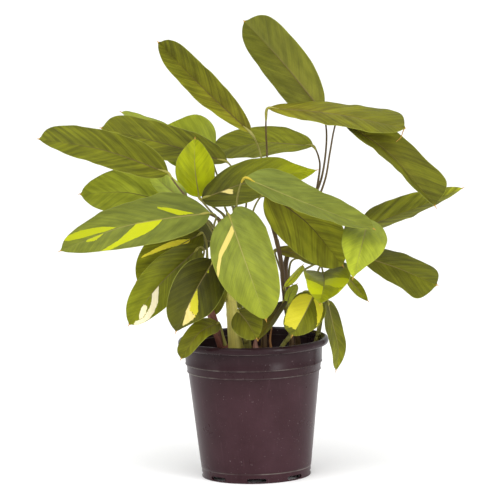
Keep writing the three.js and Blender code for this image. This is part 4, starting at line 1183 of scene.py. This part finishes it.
def blade_frame(rib, leaf, u):
    """Points along the midrib, with the way along, up and to the right at each."""
    centre, tangent = rib.at(u), rib.tangent(u)
    viewer = unit(np.array([VIEW_ASIDE, -VIEW_DISTANCE, VIEW_HEIGHT]) - centre)
    up = unit(viewer - tangent * np.sum(viewer * tangent, axis=1)[:, None])
    roll = np.radians(from_to(leaf["roll"], u))[:, None]
    up = up * np.cos(roll) + np.cross(tangent, up) * np.sin(roll)
    return centre, tangent, up, np.cross(tangent, up)


def half_widths(leaf, u, v):
    """The width of the blade on the side of each column, at each station."""
    oval = np.sqrt(np.sin(np.pi * np.minimum(1, u + 0.02)))
    widths = []
    for which, side in enumerate((BLUNT(u), LEAN(u))):
        side = side + (oval * side**0.4 - side) * leaf["oval"]
        side = side * (1 - leaf["base"][which] * (1 - NARROW_BASE(u)))
        side = side * (1 - leaf["tip"][which] * (1 - NARROW_TIP(u)))
        widths.append(leaf["half"] * leaf["full"][which] * side)
    blunt_right = leaf["blunt"] > 0
    return np.where((v > 0)[None, :] == blunt_right, widths[0][:, None], widths[1][:, None])


def lobe_shift(leaf, u, v):
    """How far the base of the blade reaches back beside the petiole, at each station and column."""
    blunt, lean = leaf["lobe"]
    depth = np.where((v > 0) == (leaf["blunt"] > 0), blunt, lean) * v**2
    return LOBE(u)[:, None] * depth[None, :]


print("points on one side of a blade:", len(stations()[0]) * len(stations()[1]))

# %% [markdown]
# The side veins leave the midrib at a slant and curve forward, so every spot of the blade is
# told where its own vein starts. The mosaic is given in those rows, and so are the pleats. The
# ripples are sums of three sine waves, which is cheaper than noise and repeats from its seed.

# %% Vein rows, patches and ripples
VEIN_SLANT = 1.15
VEIN_CURVE = 0.012
NO_PATCH = -20.0
PATCH_END = 0.5
PATCH_END_WEIGHT = 2
RIPPLES = ((1, 1), (0.61, 0.7), (0.37, 0.4))
RIPPLE_HEIGHT = 1.6


def vein_row(along, across):
    """Where the side vein through a spot leaves the midrib."""
    return along - VEIN_SLANT * np.abs(across) - VEIN_CURVE * across**2


def mosaic_field(patches, row, across):
    """Millimetres inside the nearest patch, below zero outside, and the tone of that patch."""
    field = np.full(row.shape, NO_PATCH)
    tone = np.zeros(row.shape)
    for side, colour, edges in patches:
        out, first, last = np.array(edges, float).T
        far = across * side
        inside = np.minimum(row - np.interp(far, out, first), np.interp(far, out, last) - row)
        ends = np.minimum(far - out[0] + PATCH_END, out[-1] + PATCH_END - far)
        value = np.minimum(inside, PATCH_END_WEIGHT * ends)
        tone = np.where(value > field, colour, tone)
        field = np.maximum(field, value)
    return field, tone


def ripple(rng, place, period):
    """A smooth random wave of a place in millimetres, from about -1 to 1."""
    return sum(size * np.sin(2 * math.pi * place / (period * step) + rng.uniform(0, 6.3))
               for step, size in RIPPLES) / RIPPLE_HEIGHT


print("a vein that ends 20 mm out starts", round(-float(vein_row(0, 20)), 1), "mm back on the rib")

# %% [markdown]
# The stalk runs from its sheath on the cane to the pulvinus, the swollen joint that turns the
# blade to the light by day and folds it up at night. It goes on a little way under the midrib,
# where it thins out. The drip tip is a tail that hangs, so that rain runs off the blade.

# %% Petioles and drip tips
PETIOLE = {"foot": 1.4, "top": 1.0, "pulvinus": 1.7, "end": 0.45, "sheath": 6}
PULVINUS = (0.8, 0.96)
FOOT_SWELLING = 0.9
FOOT_FADE = 9
UNDER_RIB = 0.08


def add_petiole(gatherer, leaf, look, rib):
    """The stalk from its sheath on the cane to the swollen joint under the blade."""
    cane, share, side = leaf["foot"]
    route = routes[cane]
    tangent = route.tangent(share)[0]
    out = np.array([math.cos(math.radians(side)), math.sin(math.radians(side)), 0])
    out = unit(out - tangent * out.dot(tangent))
    foot = route.at(share)[0] + out * (cane_radius(cane, share) + PETIOLE["foot"] + GAP)
    clasp = foot + tangent * PETIOLE["sheath"] + out * 2 * GAP
    via = [at(place) for place in leaf["via"]]
    stalk = Route([foot, clasp, *via, rib.at(0)[0], rib.at(UNDER_RIB)[0]])

    def size(where):
        start, end = PULVINUS
        if where > end:
            return from_to((PETIOLE["top"], PETIOLE["end"]), (where - end) / (1 - end))
        if where > start:
            swell = math.sin(math.pi * (where - start) / (end - start))
            return from_to((PETIOLE["top"], PETIOLE["pulvinus"]), swell)
        slim = from_to((PETIOLE["foot"], PETIOLE["top"]), where / start)
        return slim + FOOT_SWELLING * math.exp(-where * stalk.length / FOOT_FADE)

    petiole = stem_skins[look["stalk"] + " petiole"]
    pulvinus = stem_skins[look["joint"] + " pulvinus"]
    tube(gatherer, stalk, size, petiole, sides=10, steps=30, shares=(0, PULVINUS[0]))
    tube(gatherer, stalk, size, pulvinus, sides=12, steps=18, shares=(PULVINUS[0], 1))


def add_drip_tip(gatherer, look, rib):
    """The narrow tail at the blade's end, which hangs a little."""
    end, way = rib.at(1)[0], rib.tangent(1)[0]
    down = np.array([0, 0, -1.0])
    tail = [at(place) for place in look["tail"]] or [end + way * 1.2, end + way * 2.2 + down * 0.8]
    route = Route([end - way * 1.5, *tail])
    skin = stem_skins["withered drip tip"]
    tube(gatherer, route, lambda share: 0.7 - 0.5 * share, skin, sides=8, steps=12)


print("a petiole is", 2 * PETIOLE["top"], "mm thick at its top")

# %% [markdown]
# A leaf brings it all together. Fold and curl lay each side on an arc, and the surface is then
# moved along its own normal by the wave of the margin and the pleats. The upper side gets the
# groove over the midrib, the underside the ridge below it, and the last quads close the rim.

# %% Leaves
THICKNESS = 0.5
RIM_START = 0.97
GROOVE_DEPTH, GROOVE_REACH = 0.3, 0.9
RIDGE_DEPTH, RIDGE_REACH = 0.75, 1.1
MARGIN_WAVE = 0.9 / 28
MARGIN_PERIODS = (42, 47)
PLEAT_PERIODS = (9, 10)
PATTERN_APART = 400
UNDER_CONTRAST = 0.6


def each_side(rng, v, place, periods):
    """A ripple of its own on the right-hand side and on the left."""
    right, left = (ripple(rng, place, period) for period in periods)
    return np.where(v[None, :] > 0, right, left)


def rim_faces(rows, columns):
    """Quads round the edge, between the upper grid and the lower one."""
    loop = list(range(columns))
    loop += [i * columns + columns - 1 for i in range(1, rows)]
    loop += [(rows - 1) * columns + j for j in range(columns - 2, -1, -1)]
    loop += [i * columns for i in range(rows - 2, 0, -1)]
    count = rows * columns
    return [(a + count, b + count, b, a) for a, b in zip(loop, loop[1:] + loop[:1])]


def make_leaf(name, leaf, seed):
    rng = random.Random(seed)
    look = PLAIN | LOOKS.get(name, {})
    rib = Route([at(place) for place in leaf["rib"]])
    u, v = stations()
    where = u ** leaf["slip"]
    centre, tangent, up, right = blade_frame(rib, leaf, where)
    side, edge = np.sign(v)[None, :], np.abs(v)[None, :]
    reach = edge * half_widths(leaf, u, v)
    fold, curl = math.radians(leaf["fold"]), math.radians(leaf["curl"])
    turn = fold + curl * edge
    bend = reach / np.where(v == 0, 1, curl * np.abs(v))[None, :]
    lateral = side * bend * (np.sin(turn) - math.sin(fold))
    lift = bend * (math.cos(fold) - np.cos(turn))
    back = lobe_shift(leaf, u, v)
    spots = centre[:, None] + right[:, None] * lateral[..., None] + up[:, None] * lift[..., None]
    spots = spots - tangent[:, None] * back[..., None]
    normal = up[:, None] * np.cos(turn)[..., None] - right[:, None] * (side * np.sin(turn))[..., None]

    along = where[:, None] * rib.length - back
    across = side * reach
    row = vein_row(along, across)
    ends = np.sin(np.pi * np.clip(u, 0, 1))[:, None] ** 0.5
    margin = each_side(rng, v, along, MARGIN_PERIODS)
    pleat = each_side(rng, v, row, PLEAT_PERIODS)
    wave = MARGIN_WAVE * leaf["half"] * margin * edge**3 * ends
    shift = wave + look["pleat"] * pleat * 4 * edge * (1 - edge) * ends
    groove = GROOVE_DEPTH * np.exp(-((reach / GROOVE_REACH) ** 2)) * (1 - 0.7 * u[:, None])
    ridge = RIDGE_DEPTH * np.exp(-((reach / RIDGE_REACH) ** 2)) * (1 - 0.75 * u[:, None])
    rim = np.clip((edge - RIM_START) / (1 - RIM_START), 0, 1)
    thick = THICKNESS / 2 * (1 - 0.75 * rim)
    top = spots + normal * (shift + thick - groove)[..., None]
    under = spots + normal * (shift - thick - ridge)[..., None]

    rows, columns = len(u), len(v)
    faces = grid_faces(rows, columns) + grid_faces(rows, columns, rows * columns, flip=True)
    faces += rim_faces(rows, columns)
    ramp = u[:, None] + 0 * row
    maps = {
        "blade": pair(ramp, v[None, :]),
        "vein": pair(row + PATTERN_APART * seed, across),
        # The tone map carries light, partly painted light and painted shade, and lime.
        "tone": pair(from_to(look["light"], ramp), from_to(look["lime"], ramp)),
        "rib": pair(look["rib"] + 0 * row, look["cast"] * (1 - 0.5 * ramp)),
        "mosaic": pair(*mosaic_field(PATCHES.get(name, []), row, across)),
    }
    both = {key: np.concatenate([value, value]) for key, value in maps.items()}
    face = pair(look["mosaic_painted_light"] + 0 * row, look["contrast"])
    both["face"] = np.concatenate([face, face * (0, UNDER_CONTRAST)])
    gatherer = Gatherer(f"{name}_leaf")
    gatherer.add(np.concatenate([top.reshape(-1, 3), under.reshape(-1, 3)]), faces, leaf_skin, both)
    add_petiole(gatherer, leaf, look, rib)
    add_drip_tip(gatherer, look, rib)
    return gatherer.make(f"leaf_{name}")


leaves = [make_leaf(name, USUAL | leaf, seed) for seed, (name, leaf) in enumerate(LEAVES.items())]
print("leaf faces:", sum(len(piece.data.polygons) for piece in leaves))

# %% [markdown]
# The pot is a thin shell moulded from polypropylene. Its section is turned round the axis as a
# potter would, with a rolled rim, two steps under it, a tapering wall and a foot ring, and the
# slots and drain holes are cut through it afterwards, as the mould's cores do. All its measures
# are in millimetres, and a pair of radii belongs to the foot and the top of a stretch of wall.

# %% The section of the pot
POT_HEIGHT = 157
RIM_RADIUS = 85
LIP = (3.4, 4.2)
LIP_FOOT = POT_HEIGHT - 2 * LIP[1] - 0.5
COLLAR = (77, 78.3)
BAND = (75.2, 76)
BODY = (62.2, 74.2)
FOOT_RADIUS, FOOT_RING, FOOT_LINE = 61.5, 2.4, 10.5
COLLAR_LINE, BODY_LINE = 129, 120
WALL = 1.8
FLOOR_UNDER, FLOOR_TOP, FLOOR_MIDDLE = 7, 9, 20
STEP_BEAD = 0.45


def wall_radius(z):
    """The outside of the wall below the lip, at a height."""
    if z > COLLAR_LINE:
        low, high, foot, top = *COLLAR, COLLAR_LINE, POT_HEIGHT
    elif z > BODY_LINE:
        low, high, foot, top = *BAND, BODY_LINE, COLLAR_LINE
    else:
        low, high, foot, top = *BODY, FOOT_LINE, BODY_LINE
    return low + (high - low) * (z - foot) / (top - foot)


def step_up(inner, outer, z):
    """A step in the wall, with a fine rounded bead along its lower edge."""
    bead = outer + STEP_BEAD
    return [
        (inner, z - 0.5), (inner + 0.1, z - 0.15), (bead - 0.25, z), (bead, z + 0.25),
        (bead, z + 0.8), (bead - 0.2, z + 1.2), (outer, z + 1.6),
    ]


def pot_section():
    """The closed outline of the pot's wall and floor, up the outside and down the inside."""
    def inside(z):
        return wall_radius(z) - WALL

    inner_foot = FOOT_RADIUS - FOOT_RING
    outer = [
        (inner_foot, 0), (FOOT_RADIUS - 0.5, 0), (FOOT_RADIUS - 0.15, 0.15), (FOOT_RADIUS, 0.5),
        (FOOT_RADIUS + 0.1, FOOT_LINE - 0.6), (FOOT_RADIUS + 0.25, FOOT_LINE - 0.2),
        (BODY[0], FOOT_LINE + 0.3), *[(wall_radius(z), z) for z in range(14, 117, 7)],
        *step_up(BODY[1], BAND[0], BODY_LINE), *step_up(BAND[1], COLLAR[0], COLLAR_LINE),
        (wall_radius(140), 140), (wall_radius(LIP_FOOT), LIP_FOOT),
    ]
    out, up = RIM_RADIUS - LIP[0], POT_HEIGHT - LIP[1]
    turns = [math.radians(a) for a in range(-80, 106, 12)]
    lip = [(out + LIP[0] * math.cos(a), up + LIP[1] * math.sin(a)) for a in turns]
    inner = [
        (inside(POT_HEIGHT) + 0.5, POT_HEIGHT - 2), (inside(LIP_FOOT), LIP_FOOT),
        (inside(COLLAR_LINE + 1), COLLAR_LINE + 1), (inside(COLLAR_LINE - 1), COLLAR_LINE - 1),
        (inside(BODY_LINE), BODY_LINE - 1), (inside(FOOT_LINE), FLOOR_TOP + 2),
        (inside(FOOT_LINE) - 2, FLOOR_TOP), (FLOOR_MIDDLE, FLOOR_TOP), (0, FLOOR_TOP),
        (0, FLOOR_UNDER), (FLOOR_MIDDLE, FLOOR_UNDER), (inner_foot - 2, FLOOR_UNDER),
        (inner_foot, FLOOR_UNDER - 2),
    ]
    return outer + lip + inner


print("points round the pot's section:", len(pot_section()))

# %% [markdown]
# Turning the section could be a Screw modifier, but in mesh code the points on the axis can be
# shared from the start, so nothing has to be merged afterwards. The slots and holes are closed
# cutters in one mesh, and the Boolean modifier takes them away for good.

# %% Turning and cutting
POT_SIDES = 160
SLOT = {"count": 8, "width": 22, "low": 1.4, "high": 5.6, "cut": 6}
DRAIN = {"radius": 4.5, "ring": 47, "cut": 8}


def finished_mesh(mesh, name):
    bmesh.ops.recalc_face_normals(mesh, faces=mesh.faces)
    data = bpy.data.meshes.new(name)
    mesh.to_mesh(data)
    mesh.free()
    return data


def turned_mesh(name, section, sides):
    """A closed section turned round Z; points on the axis become one point each."""
    mesh = bmesh.new()
    rings = []
    for radius, z in section:
        if radius == 0:
            rings.append([mesh.verts.new((0, 0, z * MM))] * sides)
            continue
        turn = [2 * math.pi * k / sides for k in range(sides)]
        out = radius * MM
        rings.append([mesh.verts.new((out * math.cos(a), out * math.sin(a), z * MM)) for a in turn])
    for ring, following in zip(rings, rings[1:] + rings[:1]):
        for k in range(sides):
            n = (k + 1) % sides
            corners = dict.fromkeys([ring[k], ring[n], following[n], following[k]])
            if len(corners) > 2:
                mesh.faces.new(corners)
    return finished_mesh(mesh, name)


def cutter_mesh():
    """The slots through the foot and the drain holes through the floor, as one mesh."""
    mesh = bmesh.new()
    half = (SLOT["high"] - SLOT["low"]) / 2
    reach = SLOT["width"] / 2 - half
    turns = np.radians(range(-90, 91, 15))
    outline = [(reach + half * math.cos(a), half * math.sin(a)) for a in turns]
    outline += [(-x, -z) for x, z in outline]
    for k in range(SLOT["count"]):
        turn = Matrix.Rotation(2 * math.pi * k / SLOT["count"], 4, "Z")
        outer, inner = (
            [mesh.verts.new(turn @ Vector((x, y, z + SLOT["low"] + half)) * MM) for x, z in outline]
            for y in (-FOOT_RADIUS - SLOT["cut"], -FOOT_RADIUS + SLOT["cut"])
        )
        for j, n in enumerate([*range(1, len(outline)), 0]):
            mesh.faces.new([outer[j], outer[n], inner[n], inner[j]])
        mesh.faces.new(outer)
        mesh.faces.new(inner[::-1])
        half_turn = Matrix.Rotation(2 * math.pi * (k + 0.5) / SLOT["count"], 4, "Z")
        spot = half_turn @ Vector((0, -DRAIN["ring"], (FLOOR_UNDER + FLOOR_TOP) / 2)) * MM
        radius = DRAIN["radius"] * MM
        bmesh.ops.create_cone(mesh, cap_ends=True, segments=24, radius1=radius, radius2=radius,
                              depth=DRAIN["cut"] * MM, matrix=Matrix.Translation(spot))
    return finished_mesh(mesh, "cutters")


def cut_away(piece, cutters):
    """Cuts one mesh by another for good."""
    tool = bpy.data.objects.new("cutters", cutters)
    bpy.context.scene.collection.objects.link(tool)
    cut = piece.modifiers.new("cut", "BOOLEAN")
    cut.operation, cut.solver, cut.object = "DIFFERENCE", "EXACT", tool
    graph = bpy.context.evaluated_depsgraph_get()
    mesh = bpy.data.meshes.new_from_object(piece.evaluated_get(graph))
    piece.modifiers.clear()
    piece.data = mesh
    bpy.data.objects.remove(tool)


def smooth_but_sharp(mesh, angle):
    """Smooth shading with the edges that turn by more than the angle, in degrees, kept sharp."""
    work = bmesh.new()
    work.from_mesh(mesh)
    for face in work.faces:
        face.smooth = True
    for edge in work.edges:
        edge.smooth = len(edge.link_faces) == 2 and edge.calc_face_angle(0) < math.radians(angle)
    work.to_mesh(mesh)
    work.free()


print("slots and drain holes:", SLOT["count"], "of each")

# %% [markdown]
# Polypropylene has an index of refraction of about 1.49 and comes from the mould satin, here
# almost black with a purple-brown body colour. Pots are stacked, which leaves fine upright
# scuffs. Thin pale lines at the foot, at both steps and under the lip, stronger in some stretches
# than in others, are a painted highlight, where the rounded edges would mirror the white floor.
# Dust shows as pale specks about 2 mm apart, and the collar under the lip is painted darker
# towards the top, as painted shade from the leaves above it.

# %% The finish of the pot
PAINTED_SHADE_HEIGHTS = (95, 150)
PAINTED_COLLAR_SHADE = 0.55
PAINTED_HIGHLIGHT_LINES = (FOOT_LINE, BODY_LINE + 0.6, COLLAR_LINE + 0.6, LIP_FOOT + 0.7)
PAINTED_HIGHLIGHT_WIDTH = 0.9
SCUFFS_TO_THE_METRE = (260, 260, 14)
CLOUDS_TO_THE_METRE = 22
SPECKS_TO_THE_METRE = 480
POT_ROUGHNESS = (0.24, 0.4)
POT_RELIEF = 0.05
POT_SHARP = 38


def pot_material():
    m = new_material("satin polypropylene", Roughness=0.3, IOR=1.49, Specular_IOR_Level=0.14)
    place = add_node(m, "TexCoord").node.outputs["Object"]
    tall = add_node(m, "Mapping", {"Vector": place, "Scale": SCUFFS_TO_THE_METRE})
    scuff = add_node(m, "TexNoise", {"Vector": tall, "Scale": 1, "Detail": 4, "Roughness": 0.65})
    grain = {"Vector": place, "Scale": CLOUDS_TO_THE_METRE, "Detail": 5, "Roughness": 0.6}
    cloud = add_node(m, "TexNoise", grain)
    specks = add_node(m, "TexNoise", {"Vector": place, "Scale": SPECKS_TO_THE_METRE, "Detail": 2})
    worn = add_node(m, "MapRange", [cloud, 0.35, 0.7])
    body = add_node(m, "Mix", {0: worn, 6: linear("#301a1f"), 7: linear("#3a2329")}, data_type="RGBA")
    lines = add_node(m, "MapRange", [scuff, 0.6, 0.78, 0, 0.35])
    scuffed = add_node(m, "Mix", {0: lines, 6: body, 7: linear("#523840")}, data_type="RGBA")
    height = add_node(m, "SeparateXYZ", [place]).node.outputs["Z"]
    # The collar is painted darker towards the top: painted shade from the leaves above it.
    low, high = PAINTED_SHADE_HEIGHTS
    light = add_node(m, "MapRange", [height, low * MM, high * MM, 1, PAINTED_COLLAR_SHADE])
    shaded_collar = add_node(m, "HueSaturation", {"Color": scuffed, "Value": light})
    dust = add_node(m, "MapRange", [specks, 0.7, 0.76, 0, 0.4])
    dusted = add_node(m, "Mix", {0: dust, 6: shaded_collar, 7: linear("#8d7f80")}, data_type="RGBA")
    # Pale lines at the foot, the steps and under the lip are a painted highlight, where the rounded
    # edges would mirror the white floor.
    nearest = PAINTED_HIGHLIGHT_WIDTH * MM
    for line in PAINTED_HIGHLIGHT_LINES:
        gap = add_node(m, "Math", [height, line * MM], operation="SUBTRACT")
        gap = add_node(m, "Math", [gap], operation="ABSOLUTE")
        nearest = add_node(m, "Math", [gap, nearest], operation="MINIMUM")
    patchy = add_node(m, "MapRange", [cloud, 0.42, 0.66, 0.06, 0.55])
    painted_highlight = add_node(m, "MapRange", [nearest, 0, PAINTED_HIGHLIGHT_WIDTH * MM, patchy, 0])
    highlighted = add_node(m, "Mix", {0: painted_highlight, 6: dusted, 7: linear("#9a968c")}, data_type="RGBA")
    gloss = add_node(m, "MapRange", [cloud, 0.3, 0.7, *POT_ROUGHNESS])
    dress(m, highlighted, gloss, scuff, POT_RELIEF)
    return m


def make_pot():
    mesh = turned_mesh("pot_shell", pot_section(), POT_SIDES)
    piece = bpy.data.objects.new("pot_shell", mesh)
    bpy.context.scene.collection.objects.link(piece)
    cut_away(piece, cutter_mesh())
    smooth_but_sharp(piece.data, POT_SHARP)
    piece.data.materials.append(pot_material())
    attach(piece, "root")
    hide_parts("pot")
    return piece


pot = make_pot()
print("pot faces:", len(pot.data.polygons))

# %% [markdown]
# The soil is damp compost: dark crumbs of peat and bark with coir between them, a little heaped
# round the stems. The bed is a disc of small lumps over the model's own gentle swell, and loose
# crumbs of bark lie on it, each a rough little block of its own size, scattered by a seeded rule.
# Damp fibre hardly shines, and its grain of about 2 mm shows as pale specks in the dark.

# %% The finish of the soil
COMPOST_RELIEF = 2
CRUMB_RELIEF = 1


def soil_material():
    m = new_material("damp compost", Roughness=0.95, Specular_IOR_Level=0.2)
    place = add_node(m, "TexCoord").node.outputs["Object"]
    grain = add_node(m, "TexNoise", {"Vector": place, "Scale": 420, "Detail": 6, "Roughness": 0.7})
    clod = add_node(m, "TexNoise", {"Vector": place, "Scale": 70, "Detail": 3})
    dark = add_node(m, "Mix", {0: clod, 6: linear("#160e0a"), 7: linear("#33241a")}, data_type="RGBA")
    light = add_node(m, "MapRange", [grain, 0.58, 0.7, 0, 0.7])
    colour = add_node(m, "Mix", {0: light, 6: dark, 7: linear("#6b4a30")}, data_type="RGBA")
    dress(m, colour, None, grain, COMPOST_RELIEF)
    return m


def crumb_material(name, low, high):
    m = new_material(name, Roughness=0.85, Specular_IOR_Level=0.25)
    place = add_node(m, "TexCoord").node.outputs["Object"]
    grain = add_node(m, "TexNoise", {"Vector": place, "Scale": 300, "Detail": 5, "Roughness": 0.7})
    colour = add_node(m, "Mix", {0: grain, 6: linear(low), 7: linear(high)}, data_type="RGBA")
    dress(m, colour, None, grain, CRUMB_RELIEF)
    return m


compost = soil_material()
bark = crumb_material("bark crumb", "#2a1a10", "#7a5334")
peat = crumb_material("peat crumb", "#120c09", "#3a291d")
print("materials in all:", len(bpy.data.materials))

# %% The soil
SOIL_LUMP = 1.4
SOIL_EDGE = 73.2
SOIL_FOOT = 57.5
SOIL_SIDES, SOIL_RINGS = 128, 46
CRUMBS = 900
CRUMB_REACH = 72
FINE_CRUMBS, COARSE_CRUMBS = (0.6, 1.1), (1.2, 2.6)
FINE_SHARE, BARK_SHARE = 0.7, 0.45
CRUMB_SHARP = 50


def soil_height(x, y):
    slow = math.sin(x / 9 + 1) * math.cos(y / 11)
    quick = math.sin(y / 5 + x / 7)
    swell = SOIL_LUMP * (slow + 0.6 * quick)
    lumps = noise.fractal(Vector((x / 7, y / 7, 0)), 0.8, 2.1, 4)
    return SOIL_LEVEL + swell + 1.1 * lumps


def make_soil():
    gatherer = Gatherer("compost_bed")
    ways = [(math.cos(a), math.sin(a))
            for a in (2 * math.pi * k / SOIL_SIDES for k in range(SOIL_SIDES))]
    points = [(SOIL_FOOT * c, SOIL_FOOT * s, FLOOR_TOP + GAP) for c, s in ways]
    for i in range(SOIL_RINGS + 1):
        radius = SOIL_EDGE * (1 - i / SOIL_RINGS) + 0.01
        points += [(radius * c, radius * s, soil_height(radius * c, radius * s)) for c, s in ways]
    faces = grid_faces(SOIL_RINGS + 2, SOIL_SIDES, wrap=True)
    last = (SOIL_RINGS + 1) * SOIL_SIDES
    faces += [tuple(range(SOIL_SIDES))[::-1], tuple(last + k for k in range(SOIL_SIDES))]
    gatherer.add(points, faces, compost)
    rng = random.Random(11)
    for _ in range(CRUMBS):
        radius, turn = CRUMB_REACH * math.sqrt(rng.random()), rng.uniform(0, 2 * math.pi)
        x, y = radius * math.cos(turn), radius * math.sin(turn)
        size = rng.uniform(*(FINE_CRUMBS if rng.random() < FINE_SHARE else COARSE_CRUMBS))
        add_crumb(gatherer, rng, (x, y, soil_height(x, y) + 0.2 * size), size)
    return gatherer.make("soil")


def add_crumb(gatherer, rng, place, size):
    """One rough block: a cube with its corners moved, turned at random."""
    stretch = Vector((rng.uniform(0.8, 1.8), rng.uniform(0.6, 1.2), rng.uniform(0.35, 0.7)))
    turn = Matrix.Rotation(rng.uniform(0, 6.3), 3, "Z") @ Matrix.Rotation(rng.uniform(-0.5, 0.5), 3, "X")
    corners = []
    for x in (-1, 1):
        for y in (-1, 1):
            for z in (-1, 1):
                spot = Vector((x * stretch.x, y * stretch.y, z * stretch.z))
                spot += Vector([rng.uniform(-0.35, 0.35) for _ in range(3)])
                corners.append(turn @ spot * size + Vector(place))
    faces = [(0, 1, 3, 2), (4, 6, 7, 5), (0, 4, 5, 1), (2, 3, 7, 6), (0, 2, 6, 4), (1, 5, 7, 3)]
    gatherer.add(corners, faces, bark if rng.random() < BARK_SHARE else peat)


soil = make_soil()
smooth_but_sharp(soil.data, CRUMB_SHARP)
print("soil faces:", len(soil.data.polygons))
